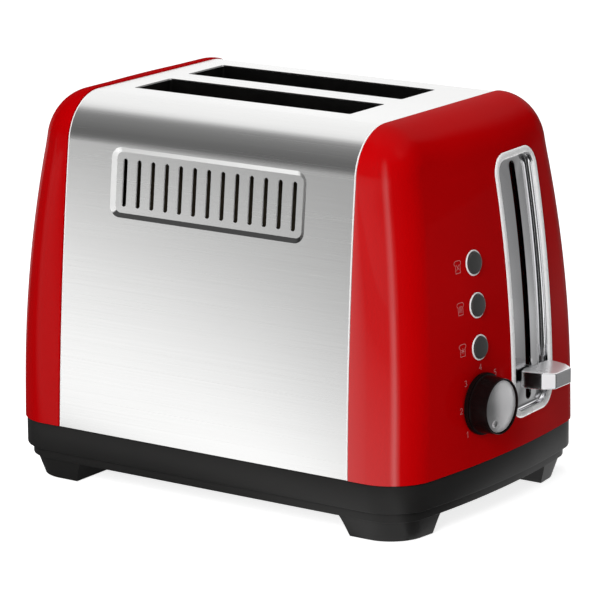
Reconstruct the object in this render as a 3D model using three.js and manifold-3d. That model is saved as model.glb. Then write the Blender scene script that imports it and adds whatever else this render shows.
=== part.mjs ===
// A two-slot toaster: a brushed steel wrap between two red end panels on a black base.
// Millimetres, +Z up. X runs along the bread slots and the controls are on the +X end.
import Module from 'manifold-3d';
import * as THREE from 'three';
import { mergeVertices } from 'three/addons/utils/BufferGeometryUtils.js';

const wasm = await Module();
wasm.setup();

// Clearances and rules that all pieces share.
const seatGap = 0.3;
const slideGap = 0.7;
const cutOverrun = 4;
const mergeTolerance = 1e-4;
const obroundShare = 0.999;

// The casing's outer form: an arch-shaped section run along X, closed by two bowed ends.
const bodyBottom = 32.3;
const bodyTop = 208.2;
const sideLeanShare = 0.0304;
const sideCurveRadius = 1812;
const shoulderRadius = 26.6;
const endDepth = 41.5;
const endBowRadius = 500;
const endLeanStart = 52.3;
const endLeanRadius = 688;
const endFillet = 21.5;
const seamLeanShare = 0.0102;
const seamLand = 1.5;

// Steel wrap with its bread slots and the pressed vent on each broad side.
const wrapSheet = 0.8;
const slotLength = 136.5;
const slotWidth = 31.8;
const slotPitch = 47.4;
const slotCentreX = -6.6;
const slotCorner = 1;
const slotEdgeMargin = 11.34;
const slotEndMargin = 15.15;
const ventLength = 122;
const ventHeight = 36.8;
const ventCorner = 6;
const ventFloorCorner = 2;
const ventDrop = 42;
const ventDepth = 1.4;
const ventBevel = 2.6;
const ventSlotCount = 13;
const ventSlotPitch = 8.85;
const ventSlotLength = 25;
const ventSlotWidth = 2.2;

// End panels, their tongue under the wrap, and the bosses inside them.
const panelProud = 0.6;
const panelWall = 3.2;
const panelEdgeRound = 0.8;
const tongueLength = 6;
const screwEndInset = 21.5;
const screwSideInset = 22.4;
const screwShankRadius = 1.7;
const screwHeadRadius = 3.4;
const screwHeadHeight = 2.4;
const screwLength = 36;
const screwRecess = 1.3;
const screwBossRadius = 4.2;
const screwDomeShare = 0.4;
const screwCrownShare = 0.6;
const driveLengthShare = 0.55;
const driveWidthShare = 0.14;

// Base tray with four moulded feet and their rubber pads.
const baseInset = 0.9;
const baseWall = 2.5;
const baseBottom = 11.8;
const skirtHeight = 5.5;
const skirtStep = 3.3;
const floorSheet = 2.5;
const floorTop = 19.3;
const footLift = 0.3;
const footInset = 4.8;
const soleInset = 8.8;
const footLength = 50.5;
const footWidth = 38.4;
const soleLength = 44.4;
const soleWidth = 35.9;
const soleCorner = 17;
const padRadius = 6;
const padHeight = 2.6;
const padEndInset = 33.5;
const padSideInset = 17.4;
const columnRadius = 4.6;
const headRecessTop = 16.8;
const guideRibWidth = 1.5;
const guideRibHeight = 5;

// Cord gland in the rear wall of the base, and the mains pieces on the base floor.
const glandEndInset = 45.5;
const glandFlangeRadius = 5.6;
const glandNeckRadius = 4.5;
const glandBoreRadius = 3.1;
const glandFlange = 0.7;
const glandInnerFlange = 1.5;
const terminalOffset = 22;
const terminalInset = 16.4;
const terminalLength = 20;
const terminalWidth = 14;
const terminalHeight = 12;
const terminalScrewRadius = 2.2;
const mainsSwitchReach = 16.95;
const mainsSwitchInset = 21;
const mainsSwitchLength = 18;
const mainsSwitchWidth = 18;
const mainsSwitchHeight = 15;
const mainsSwitchNotch = 5;

// Crumb tray with its moulded handle.
const trayInset = 12.5;
const traySheet = 0.8;
const trayDepth = 6;
const trayEndGap = 5.05;
const handleSide = 0.5;
const handleHeight = 9.4;
const handleDepth = 12;
const gripHalf = 26;
const gripHeight = 6.4;
const gripDepth = 7;

// Chassis plates, slot liner and the toasting chamber.
const plateSheet = 1;
const chamberMargin = 5.4;
const plateInset = 18.4;
const plateTopMargin = 1;
const plateShoulderDrop = 36;
const linerSheet = 0.8;
const linerMargin = 7.4;
const linerEase = 0.5;
const collarDepth = 12;
const cardSheet = 0.8;
const cardBottom = 50.3;
const cardTopDrop = 14;
const outerCardGap = 11.05;
const ribbonSheet = 0.4;
const ribbonWidth = 2;
const ribbonRuns = 10;
const ribbonSideMargin = 8;
const ribbonEndMargin = 12;

// Bread guards: wire grids that close on the bread as the carriage goes down.
const guardEase = 4.65;
const guardWireRadius = 0.8;
const guardRailRadius = 1;
const guardBottom = 52.3;
const guardTopDrop = 5.5;
const guardFlare = 3.4;
const guardFlareHeight = 9;
const guardWireCount = 8;
const guardWireMargin = 12;
const guardRailInset = 8;

// Bread racks and the carriage behind the right chassis plate.
const rackTop = 56.3;
const rackSheet = 1.2;
const rackEase = 4.25;
const rackNeck = 1.6;
const rackNeckHeight = 10;
const rackNeckDrop = 4;
const rackEndMargin = 3;
const toothCount = 6;
const toothHeight = 4;
const toothWidth = 4;
const carriageGap = 1.6;
const carriageSheet = 1.6;
const carriageMargin = 12.3;
const carriageBottom = 49.3;
const carriageHeight = 30;
const carriageCorner = 4;
const guideRodRadius = 3;
const bushWall = 3;
const bushLength = 24;
const bracketDrop = 10;
const bracketSheet = 1;
const bracketReach = 5;
const springY = 14;
const springRadius = 3.6;
const springWire = 0.5;
const springTurns = 15;
const springTab = 1.2;
const springTabHalf = 4.4;

// Latch: an electromagnet on the base floor holds the keeper of the lowered carriage.
const magnetY = -21;
const keeperHalf = 9;
const keeperSheet = 2;
const keeperReach = 18;
const coreInset = 4;
const coreLeg = 4;
const coreWidth = 10;
const coreYoke = 5;
const coilWall = 2.4;
const coilMargin = 1.5;

// Lever: chrome bezel in the end face, arm through its slot, and the chrome handle.
const leverY = 24.9;
const leverRest = 67.9;
const leverTravel = 100;
const bezelWidth = 43;
const bezelBelow = 20.5;
const bezelAbove = 17;
const bezelCorner = 11;
const bezelRim = 3.4;
const bezelProud = 1.2;
const bezelDepth = 3.1;
const bezelWall = 1.2;
const bezelFillet = 1;
const bezelCrownShare = 0.2;
const bezelEdgeShare = 0.75;
const bezelLipShare = 0.3;
const leverSlotWidth = 5.8;
const leverSlotMargin = 6.5;
const leverSlotOffset = 1.5;
const armSheet = 2.4;
const armHeight = 8;
const leverKnobInset = 3.1;
const leverKnobCorner = 1.2;
const armPocket = 7;

// Stations of the lever handle: distance from its back, half width, and half height.
const knobStations = [
  [0, 6.5, 3.7],
  [3.3, 14.4, 4.5],
  [14.5, 11.5, 4.5],
  [20.3, 7.2, 4.1],
];

// Browning dial and the push buttons on the circuit board.
const controlY = -24.9;
const dialZ = 63.9;
const dialBaseRadius = 16;
const dialTopRadius = 14.2;
const dialHeight = 13.2;
const dialStep = 2.4;
const dialCove = 1.4;
const dialCoveWidth = 0.6;
const dialCapRadius = 13.4;
const dialCapSheet = 1.2;
const dialCapEdge = 0.4;
const dialCapSink = 0.7;
const dialShaftRadius = 3;
const dialShaftReach = 9;
const potRadius = 8;
const potDepth = 8;
const potNeckRadius = 4.6;
const potNeckLength = 3;
const potFloor = 1.5;
const buttonRise = 29;
const buttonPitch = 21.6;
const buttonRadius = 5.5;
const buttonProud = 1.9;
const buttonDome = 0.5;
const domeShare = 0.4;
const buttonSkirt = 4;
const buttonStemRadius = 2.2;
const buttonTravel = 1.5;
const ringRadius = 6.6;
const ringWall = 0.4;
const ringProud = 1.1;
const ringEdge = 0.4;
const boardInset = 19.5;
const boardSheet = 1.6;
const boardFarWidth = 34.1;
const boardNearWidth = 20.9;
const boardBelow = 16.6;
const boardAbove = 16.2;
const boardMargin = 4;
const boardCorner = 2;
const boardBossRadius = 3;
const switchHalf = 3;
const switchHeight = 3.5;
const plungerRadius = 1.7;
const plungerHeight = 1;

// Facets of the curved pieces.
const sideSteps = 4;
const shoulderSteps = 4;
const flatSteps = 2;
const filletSteps = 4;
const faceSteps = 3;
const cornerSteps = 3;
const slotEndSteps = 1;
const bowSteps = 3;
const bezelSteps = 6;
const wireSides = 4;
const bossSides = 6;
const turnSides = 12;
const ringSides = 18;
const dialSides = 26;
const springSteps = 8;
const springSides = 5;

// Colour, roughness and metalness of each finish.
const finishes = {
  brushedSteel: [0xc9c9c7, 0.34, 0.9],
  redPaint: [0xa80810, 0.14, 0],
  blackPlastic: [0x262626, 0.5, 0],
  softRubber: [0x161616, 0.85, 0],
  zincScrew: [0x9c9c9a, 0.35, 1],
  chrome: [0xe2e2e4, 0.08, 1],
  darkCap: [0x3c3c40, 0.35, 0],
  blackGloss: [0x0c0c0d, 0.12, 0],
  spunMetal: [0xd8d8da, 0.2, 1],
  chassisSteel: [0xa7a9ab, 0.4, 0.9],
  mica: [0xc6b48e, 0.6, 0],
  heatingRibbon: [0x6e6a66, 0.45, 1],
  wireSteel: [0xb4b4b6, 0.3, 1],
  boardGreen: [0x2a5b3a, 0.5, 0],
  whitePlastic: [0xd9d6cc, 0.5, 0],
  coilCopper: [0xa05a2c, 0.4, 0.7],
  softIron: [0x77797c, 0.45, 1],
  brass: [0xb9974f, 0.3, 1],
};

const toaster = new THREE.Group();

function finish(name) {
  const [color, roughness, metalness] = finishes[name];
  return new THREE.MeshStandardMaterial({ color, roughness, metalness });
}

function solidOf(geometry) {
  const bare = geometry.clone();
  bare.deleteAttribute('normal');
  bare.deleteAttribute('uv');
  const merged = mergeVertices(bare, mergeTolerance);
  const places = merged.getAttribute('position');
  const corner = (i) => new THREE.Vector3().fromBufferAttribute(places, i);
  const triVerts = [];
  let volume = 0;
  for (let i = 0; i < merged.index.count; i += 3) {
    const [a, b, c] = [0, 1, 2].map((step) => merged.index.getX(i + step));
    if (a === b || b === c || c === a) continue;
    triVerts.push(a, b, c);
    volume += corner(a).dot(corner(b).cross(corner(c)));
  }
  if (volume < 0) triVerts.reverse();
  return new wasm.Manifold(new wasm.Mesh({
    numProp: 3,
    vertProperties: new Float32Array(places.array),
    triVerts: new Uint32Array(triVerts),
  }));
}

function geometryOf(solid) {
  const mesh = solid.getMesh();
  const geometry = new THREE.BufferGeometry();
  geometry.setAttribute('position', new THREE.BufferAttribute(mesh.vertProperties, 3));
  geometry.setIndex(new THREE.BufferAttribute(mesh.triVerts, 1));
  geometry.computeVertexNormals();
  return geometry;
}

function addPiece(name, solid, finishName, parent = toaster) {
  const mesh = new THREE.Mesh(geometryOf(solid), finish(finishName));
  mesh.name = name;
  parent.add(mesh);
  return mesh;
}

function triangleSolid(triangles) {
  const geometry = new THREE.BufferGeometry();
  geometry.setAttribute('position', new THREE.Float32BufferAttribute(triangles.flat(2), 3));
  return solidOf(geometry);
}

function quad(triangles, a, b, c, d) {
  triangles.push([a, b, c], [a, c, d]);
}

// A sheet between two skins of open rows; the last rows may close on a spine of their own.
function shellSolid(outer, inner, closeEnd) {
  const triangles = [];
  const last = outer.length - 1;
  const edge = outer[0].length - 1;
  for (let k = 0; k < last; k += 1) {
    for (let i = 0; i < edge; i += 1) {
      quad(triangles, outer[k][i], outer[k + 1][i], outer[k + 1][i + 1], outer[k][i + 1]);
      quad(triangles, inner[k][i], inner[k][i + 1], inner[k + 1][i + 1], inner[k + 1][i]);
    }
    quad(triangles, outer[k + 1][0], outer[k][0], inner[k][0], inner[k + 1][0]);
    quad(triangles, outer[k][edge], outer[k + 1][edge], inner[k + 1][edge], inner[k][edge]);
  }
  for (let i = 0; i < edge; i += 1) {
    quad(triangles, outer[0][i], outer[0][i + 1], inner[0][i + 1], inner[0][i]);
    if (closeEnd) {
      quad(triangles, outer[last][i + 1], outer[last][i], inner[last][i], inner[last][i + 1]);
    }
  }
  return triangleSolid(triangles);
}

// A solid skinned over closed loops of points, whose first and last loops fall on a line.
function loopSolid(loops) {
  const triangles = [];
  for (let k = 0; k + 1 < loops.length; k += 1) {
    loops[k].forEach((point, i) => {
      const next = (i + 1) % loops[k].length;
      quad(triangles, point, loops[k + 1][i], loops[k + 1][next], loops[k][next]);
    });
  }
  return triangleSolid(triangles);
}

function slab([x0, x1], [y0, y1], [z0, z1]) {
  const box = new THREE.BoxGeometry(x1 - x0, y1 - y0, z1 - z0);
  return solidOf(box.translate((x0 + x1) / 2, (y0 + y1) / 2, (z0 + z1) / 2));
}

function extruded(outline, height) {
  const shape = new THREE.Shape(outline.map(([u, v]) => new THREE.Vector2(u, v)));
  return new THREE.ExtrudeGeometry(shape, { depth: height, bevelEnabled: false });
}

// An outline in X and Y run upward, and an outline in Y and Z run along X.
function prismZ(outline, [z0, z1]) {
  return solidOf(extruded(outline, z1 - z0).translate(0, 0, z0));
}

function prismX(outline, [x0, x1]) {
  const turn = new THREE.Matrix4().makeBasis(
    new THREE.Vector3(0, 1, 0),
    new THREE.Vector3(0, 0, 1),
    new THREE.Vector3(1, 0, 0),
  );
  return solidOf(extruded(outline, x1 - x0).applyMatrix4(turn).translate(x0, 0, 0));
}

// A turned piece about +Z from pairs of radius and height.
function turned(profile, sides) {
  const points = profile.map(([radius, height]) => new THREE.Vector2(radius, height));
  return new THREE.LatheGeometry(points, sides).rotateX(Math.PI / 2);
}

function bar(radius, [from, to], sides) {
  return turned([[0, from], [radius, from], [radius, to], [0, to]], sides);
}

function roundedOutline([u0, u1], [v0, v1], radius, { vSplits = 1, steps = cornerSteps } = {}) {
  const corners = [
    [u1 - radius, v0 + radius, -Math.PI / 2, 1],
    [u1 - radius, v1 - radius, 0, vSplits],
    [u0 + radius, v1 - radius, Math.PI / 2, 1],
    [u0 + radius, v0 + radius, Math.PI, vSplits],
  ];
  const points = [];
  corners.forEach(([u, v, start, splits]) => {
    const first = [u + radius * Math.cos(start), v + radius * Math.sin(start)];
    const before = points[points.length - 1] ?? [u0 + radius, v0];
    for (let i = 1; i < splits; i += 1) {
      const share = i / splits;
      points.push(before.map((value, axis) => THREE.MathUtils.lerp(value, first[axis], share)));
    }
    for (let i = 0; i <= steps; i += 1) {
      const angle = start + (i / steps) * Math.PI / 2;
      points.push([u + radius * Math.cos(angle), v + radius * Math.sin(angle)]);
    }
  });
  return points;
}

// The casing is laid out from the bread slots: the flat top ends beside them, the seams lie
// beyond their ends, and the sides swell down from the shoulders.
const archHeight = bodyTop - bodyBottom;
const shoulderSlope = sideLeanShare + (archHeight - shoulderRadius) / sideCurveRadius;
const shoulderAngle = Math.atan(shoulderSlope);
const shoulderRise = archHeight - shoulderRadius * (1 - Math.sin(shoulderAngle));
const slotsHalf = (slotPitch + slotWidth) / 2;
const flatHalf = slotsHalf + slotEdgeMargin;
const halfWidth = flatHalf + shoulderRadius * Math.cos(shoulderAngle) + sideDraw(shoulderRise);
const seamHalf = slotLength / 2 - slotCentreX + slotEndMargin;
const endHalf = seamHalf + endDepth;

// How far the side draws in from its lower edge up to a height above it.
function sideDraw(rise) {
  return sideLeanShare * rise + rise * rise / (2 * sideCurveRadius);
}

function sideAt(rise) {
  return halfWidth - sideDraw(rise);
}

// What stands in the casing keeps its distance from the side, the end or the slots.
const screwX = endHalf - screwEndInset;
const screwY = halfWidth - screwSideInset;
const padX = endHalf - padEndInset;
const padY = halfWidth - padSideInset;
const plateHalf = halfWidth - plateInset;
const trayHalf = plateHalf - trayInset;
const linerHalf = slotsHalf + linerMargin;
const guardReach = slotWidth / 2 - guardEase;
const guardInnerY = slotPitch / 2 - guardReach;
const guardOuterY = slotPitch / 2 + guardReach;
const outerCardY = guardOuterY + outerCardGap;
const glandX = glandEndInset - endHalf;
const boardFront = endHalf - boardInset;
const leverKnobBack = endHalf - leverKnobInset;
const bezelBottom = leverRest - bezelBelow;
const bezelTop = leverRest + leverTravel + bezelAbove;
const lowestButtonZ = dialZ + buttonRise;
const boardY = [controlY - boardFarWidth, controlY + boardNearWidth];
const highestButtonZ = lowestButtonZ + 2 * buttonPitch;
const boardZ = [dialZ - boardBelow, highestButtonZ + boardAbove];

// The arch section, from the lower edge up one side, over the shoulder, to the middle.

const stations = [];
for (let i = 0; i < sideSteps; i += 1) stations.push(['side', i / sideSteps]);
for (let i = 0; i < shoulderSteps; i += 1) stations.push(['shoulder', i / shoulderSteps]);
for (let i = 0; i <= flatSteps; i += 1) stations.push(['flat', i / flatSteps]);

function archPoint([stretch, share], inset) {
  if (stretch === 'flat') return [flatHalf * (1 - share), bodyTop - inset];
  if (stretch === 'shoulder') {
    const angle = THREE.MathUtils.lerp(shoulderAngle, Math.PI / 2, share);
    const radius = shoulderRadius - inset;
    const centreZ = bodyTop - shoulderRadius;
    return [flatHalf + radius * Math.cos(angle), centreZ + radius * Math.sin(angle)];
  }
  const rise = share * shoulderRise;
  const angle = share * shoulderAngle;
  return [sideAt(rise) - inset * Math.cos(angle), bodyBottom + rise - inset * Math.sin(angle)];
}

// A whole row over both sides, where pointOf gives X, Y and Z for a station on the +Y side.
function archRow(pointOf) {
  const far = stations.map(pointOf);
  const near = far.map(([x, y, z]) => [x, -y, z]);
  return [...near.slice(0, -1), ...far.reverse()];
}

function seamAt(z) {
  return seamHalf + seamLeanShare * (bodyTop - z);
}

// The end face bows across its width and leans back towards the top.
function faceAt(y, z) {
  const lean = Math.max(0, z - endLeanStart);
  return endHalf - y * y / (2 * endBowRadius) - lean * lean / (2 * endLeanRadius);
}

function faceNormal(y, z) {
  const lean = Math.max(0, z - endLeanStart);
  return new THREE.Vector3(1, y / endBowRadius, lean / endLeanRadius).normalize();
}

// A frame on the right end face whose local Z points out of the face.
function faceSeat(y, z) {
  const seat = new THREE.Group();
  seat.position.set(faceAt(y, z), y, z);
  seat.quaternion.setFromUnitVectors(new THREE.Vector3(0, 0, 1), faceNormal(y, z));
  seat.updateMatrix();
  return seat;
}

function wrapRows(inset) {
  return [-1, 1].map((side) => archRow((station) => {
    const [y, z] = archPoint(station, inset);
    return [side * (seamAt(z) - seatGap), y, z];
  }));
}

function slotOutline(side, ease) {
  const centreY = side * slotPitch / 2;
  const halfLength = slotLength / 2 + ease;
  const half = slotWidth / 2 + ease;
  return roundedOutline(
    [slotCentreX - halfLength, slotCentreX + halfLength],
    [centreY - half, centreY + half],
    slotCorner + ease,
  );
}

// A loop drawn together into its own middle, which closes the end of a lofted solid.
function capLoop(loop) {
  const total = loop.reduce((sum, point) => sum.map((value, axis) => value + point[axis]));
  return loop.map(() => total.map((value) => value / loop.length));
}

// A block that runs through flat outlines of equal point counts at rising heights.
function stacked(layers) {
  const loops = layers.map(([outline, height]) => outline.map(([u, v]) => [u, v, height]));
  return [capLoop(loops[0]), ...loops, capLoop(loops[loops.length - 1])];
}

function ventFrame(side) {
  const rise = archHeight - ventDrop;
  const slope = Math.atan(sideLeanShare + rise / sideCurveRadius);
  const across = new THREE.Vector3(-side, 0, 0);
  const up = new THREE.Vector3(0, -side * Math.sin(slope), Math.cos(slope));
  const out = new THREE.Vector3(0, side * Math.cos(slope), Math.sin(slope));
  const place = new THREE.Vector3(0, side * sideAt(rise), bodyBottom + rise);
  place.addScaledVector(out, -panelProud);
  return new THREE.Matrix4().makeBasis(across, up, out).setPosition(place);
}

function ventBlock(frame, layers) {
  const loops = stacked(layers).map((loop) => loop.map((point) => (
    new THREE.Vector3(...point).applyMatrix4(frame).toArray()
  )));
  return loopSolid(loops);
}

function ventOutline(inset) {
  const halfLength = ventLength / 2 - inset;
  const half = ventHeight / 2 - inset;
  const radius = Math.max(ventCorner - inset, ventFloorCorner);
  return roundedOutline([-halfLength, halfLength], [-half, half], radius);
}

function ventedWrap(wrap, side) {
  const frame = ventFrame(side);
  const skin = wrapSheet / 2;
  let result = wrap.add(ventBlock(frame, [
    [ventOutline(ventBevel - skin), -ventDepth - wrapSheet],
    [ventOutline(-skin), -skin],
  ]));
  result = result.subtract(ventBlock(frame, [
    [ventOutline(ventBevel), -ventDepth],
    [ventOutline(0), 0],
    [ventOutline(0), cutOverrun],
  ]));
  const slotHalf = ventSlotWidth / 2;
  for (let i = 0; i < ventSlotCount; i += 1) {
    const middle = (i - (ventSlotCount - 1) / 2) * ventSlotPitch;
    const outline = roundedOutline(
      [middle - slotHalf, middle + slotHalf],
      [-ventSlotLength / 2, ventSlotLength / 2],
      slotHalf * obroundShare,
      { steps: slotEndSteps },
    );
    const depth = ventDepth + wrapSheet + cutOverrun;
    const cut = ventBlock(frame, [[outline, -depth], [outline, cutOverrun]]);
    result = result.subtract(cut);
  }
  return result;
}

function steelWrap() {
  let wrap = shellSolid(wrapRows(panelProud), wrapRows(panelProud + wrapSheet), true);
  [-1, 1].forEach((side) => {
    const cut = prismZ(slotOutline(side, 0), [bodyTop - shoulderRadius, bodyTop + cutOverrun]);
    wrap = ventedWrap(wrap.subtract(cut), side);
  });
  return wrap;
}

// One skin of the right end panel: tongue, seam edge, wall, fillet and end face, to a spine.
function panelSkin(depth) {
  const rows = [];
  const spineTop = bodyTop - shoulderRadius;
  const filletAt = (station) => {
    const [y, z] = archPoint(station, 0);
    return Math.min(endFillet, faceAt(y, z) - seamAt(z) - seamLand) - depth;
  };
  for (let i = 0; i <= filletSteps; i += 1) {
    const angle = (i / filletSteps) * Math.PI / 2;
    rows.push(archRow((station) => {
      const radius = filletAt(station);
      const [y, z] = archPoint(station, depth + radius * (1 - Math.cos(angle)));
      return [faceAt(y, z) - depth - radius * (1 - Math.sin(angle)), y, z];
    }));
  }
  const rim = rows[rows.length - 1];
  for (let i = 1; i <= faceSteps; i += 1) {
    rows.push(rim.map(([, y, z]) => {
      const innerY = y * (1 - i / faceSteps);
      const innerZ = THREE.MathUtils.lerp(z, Math.min(z, spineTop), i / faceSteps);
      return [faceAt(innerY, innerZ) - depth, innerY, innerZ];
    }));
  }
  return rows;
}

function seamRow(inset, offset) {
  return archRow((station) => {
    const [y, z] = archPoint(station, inset);
    return [seamAt(z) + offset, y, z];
  });
}

function panelShell() {
  const tongueInset = panelProud + wrapSheet + seatGap;
  const edgeStart = panelEdgeRound * (1 - Math.SQRT1_2);
  const outer = [
    seamRow(tongueInset, -tongueLength),
    seamRow(tongueInset, 0),
    seamRow(panelEdgeRound, 0),
    seamRow(edgeStart, edgeStart),
    seamRow(0, panelEdgeRound),
    ...panelSkin(0),
  ];
  const inner = [
    seamRow(panelWall, -tongueLength),
    seamRow(panelWall, 0),
    seamRow(panelWall, 0),
    seamRow(panelWall, 0),
    seamRow(panelWall, panelEdgeRound),
    ...panelSkin(panelWall),
  ];
  return shellSolid(outer, inner, false);
}

// Screw bosses stand on the panel's lower edge and are webbed to its side wall.
function bossedPanel() {
  let panel = panelShell();
  const bossTop = headRecessTop + screwLength + screwBossRadius;
  [-1, 1].forEach((side) => {
    const boss = bar(screwBossRadius, [bodyBottom, bossTop], turnSides);
    panel = panel.add(solidOf(boss.translate(screwX, side * screwY, 0)));
    const wall = halfWidth - panelWall - sideLeanShare * (bossTop - bodyBottom);
    const reach = [side * screwY, side * wall].sort((a, b) => a - b);
    const web = screwBossRadius / 3;
    panel = panel.add(slab([screwX - web, screwX + web], reach, [bodyBottom, bossTop]));
    const depth = [bodyBottom - cutOverrun, bossTop - web];
    const hole = bar(screwShankRadius + seatGap, depth, turnSides);
    panel = panel.subtract(solidOf(hole.translate(screwX, side * screwY, 0)));
  });
  return panel;
}

function controlHole(seat, radius) {
  const reach = panelWall + cutOverrun;
  return solidOf(bar(radius, [-reach, cutOverrun], ringSides).applyMatrix4(seat.matrix));
}

const boardCorners = [];
[boardY[0] + boardMargin, boardY[1] - boardMargin].forEach((y) => {
  [boardZ[0] + boardMargin, boardZ[1] - boardMargin].forEach((z) => boardCorners.push([y, z]));
});

const dialSeat = faceSeat(controlY, dialZ);
const buttonNames = ['defrost', 'reheat', 'cancel'];
const buttonSeats = buttonNames.map((_, i) => faceSeat(controlY, lowestButtonZ + i * buttonPitch));

function rightEndPanel() {
  let panel = bossedPanel();
  const deepest = faceAt(leverY, bezelTop) - shoulderRadius;
  const opening = bezelOutline(bezelRim - bezelWall - seatGap);
  panel = panel.subtract(prismX(opening, [deepest, endHalf + cutOverrun]));
  boardCorners.forEach(([y, z]) => {
    const span = [boardFront + seatGap, faceAt(y, z) - panelWall / 2];
    const boss = bar(boardBossRadius, span, bossSides).rotateY(Math.PI / 2);
    panel = panel.add(solidOf(boss.translate(0, y, z)));
  });
  panel = panel.subtract(controlHole(dialSeat, dialShaftRadius + slideGap));
  buttonSeats.forEach((seat) => {
    panel = panel.subtract(controlHole(seat, buttonRadius + ringWall + 2 * seatGap));
  });
  return panel;
}

function leftEndPanel() {
  const mirrored = geometryOf(bossedPanel()).scale(-1, 1, 1);
  return solidOf(mirrored);
}

// The plan outline of the casing's lower edge, moved in by an inset.
function planQuadrant(inset, radius = endFillet - inset) {
  const points = [];
  const wall = halfWidth - inset;
  const endAt = (y) => endHalf - inset - y * y / (2 * endBowRadius);
  for (let i = 0; i <= filletSteps; i += 1) {
    const angle = (i / filletSteps) * Math.PI / 2;
    const y = wall - radius * (1 - Math.cos(angle));
    points.push([endAt(y) - radius * (1 - Math.sin(angle)), y]);
  }
  for (let i = 1; i < bowSteps; i += 1) {
    const y = (wall - radius) * (1 - i / bowSteps);
    points.push([endAt(y), y]);
  }
  return points;
}

function planOutline(inset) {
  const quarter = planQuadrant(inset);
  const down = [...quarter, [endHalf - inset, 0]];
  const right = [...down, ...quarter.map(([x, y]) => [x, -y]).reverse()];
  return [...right, ...right.map(([x, y]) => [-x, -y])];
}

// A foot's outline is the corner of the plan, cut off by its two inner edges.
function footOutline(inset, radius, length, width) {
  const innerX = endHalf - length;
  const innerY = halfWidth - width;
  const corner = planQuadrant(inset, radius).slice(0, filletSteps + 1);
  const endX = endHalf - inset - innerY * innerY / (2 * endBowRadius);
  return [
    [innerX, innerY],
    [innerX, halfWidth - inset],
    ...corner.map(([x, y]) => [Math.max(x, innerX), Math.max(y, innerY)]),
    [endX, innerY],
  ];
}

function footBlock(sideX, sideY) {
  const placed = (outline) => outline.map(([x, y]) => [sideX * x, sideY * y]);
  const root = footOutline(footInset, endFillet - footInset, footLength, footWidth);
  const sole = footOutline(soleInset, soleCorner, soleLength, soleWidth);
  const layers = [[placed(sole), footLift], [placed(root), baseBottom + skirtHeight]];
  return loopSolid(stacked(layers));
}

const baseTop = bodyBottom - seatGap;
const handleHalf = trayHalf + handleSide;
const trayBottom = floorTop + seatGap;
const glandZ = (floorTop + baseTop) / 2;
const quarters = [[1, -1], [1, 1], [-1, 1], [-1, -1]];

function baseShell() {
  const bandBottom = baseBottom + skirtHeight;
  const band = prismZ(planOutline(baseInset), [bandBottom, baseTop]);
  const skirt = prismZ(planOutline(baseInset + skirtStep), [baseBottom, floorTop]);
  const hollow = prismZ(planOutline(baseInset + baseWall), [floorTop, baseTop + cutOverrun]);
  const under = planOutline(baseInset + skirtStep + baseWall);
  const recess = prismZ(under, [baseBottom - cutOverrun, floorTop - floorSheet]);
  return band.add(skirt).subtract(hollow).subtract(recess);
}

function baseTray() {
  let base = baseShell();
  const ribTop = floorTop + guideRibHeight;
  [-1, 1].forEach((side) => {
    const ribFrom = side * (handleHalf + seatGap);
    const rib = [ribFrom, ribFrom + side * guideRibWidth].sort((a, b) => a - b);
    const ribX = [handleBack, rightPlateX - trayEndGap];
    base = base.add(slab(ribX, rib, [floorTop - floorSheet / 2, ribTop]));
  });
  quarters.forEach(([sideX, sideY]) => {
    base = base.add(footBlock(sideX, sideY));
    const place = [sideX * screwX, sideY * screwY, 0];
    const column = bar(columnRadius, [floorTop - floorSheet, baseTop], turnSides);
    base = base.add(solidOf(column.translate(...place)));
    const shaftZ = [headRecessTop - cutOverrun, baseTop + cutOverrun];
    const shaft = bar(screwShankRadius + seatGap, shaftZ, turnSides);
    base = base.subtract(solidOf(shaft.translate(...place)));
    const headZ = [footLift - cutOverrun, headRecessTop];
    const head = bar(screwHeadRadius + seatGap, headZ, turnSides);
    base = base.subtract(solidOf(head.translate(...place)));
    const padZ = [footLift - cutOverrun, padHeight + seatGap];
    const pad = bar(padRadius + seatGap, padZ, turnSides);
    base = base.subtract(solidOf(pad.translate(sideX * padX, sideY * padY, 0)));
  });
  const mouth = [-handleHalf - seatGap, handleHalf + seatGap];
  const mouthX = [-endHalf - cutOverrun, handleBack];
  base = base.subtract(slab(mouthX, mouth, [floorTop, trayBottom + handleHeight + seatGap]));
  const glandSpan = [-halfWidth - cutOverrun, cutOverrun - halfWidth];
  const glandHole = bar(glandNeckRadius + seatGap, glandSpan, turnSides);
  return base.subtract(solidOf(glandHole.rotateX(Math.PI / 2).translate(glandX, 0, glandZ)));
}

function addFeetAndScrews() {
  quarters.forEach(([sideX, sideY], i) => {
    const pad = bar(padRadius, [0, padHeight], turnSides).translate(sideX * padX, sideY * padY, 0);
    addPiece(`foot_pad_${i + 1}`, solidOf(pad), 'softRubber');
    const top = headRecessTop - seatGap;
    const bottom = top - screwHeadHeight;
    const dome = screwHeadHeight * screwDomeShare;
    const screw = turned([
      [0, bottom],
      [screwHeadRadius * screwCrownShare, bottom],
      [screwHeadRadius, bottom + dome],
      [screwHeadRadius, top],
      [screwShankRadius, top],
      [screwShankRadius, top + screwLength - screwShankRadius],
      [0, top + screwLength],
    ], turnSides);
    let solid = solidOf(screw);
    const drive = [bottom - cutOverrun, bottom + screwRecess];
    const long = spread(0, 2 * screwHeadRadius * driveLengthShare);
    const narrow = spread(0, 2 * screwHeadRadius * driveWidthShare);
    solid = solid.subtract(slab(long, narrow, drive)).subtract(slab(narrow, long, drive));
    const mesh = addPiece(`base_screw_${i + 1}`, solid, 'zincScrew');
    mesh.position.set(sideX * screwX, sideY * screwY, 0);
  });
}

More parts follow.
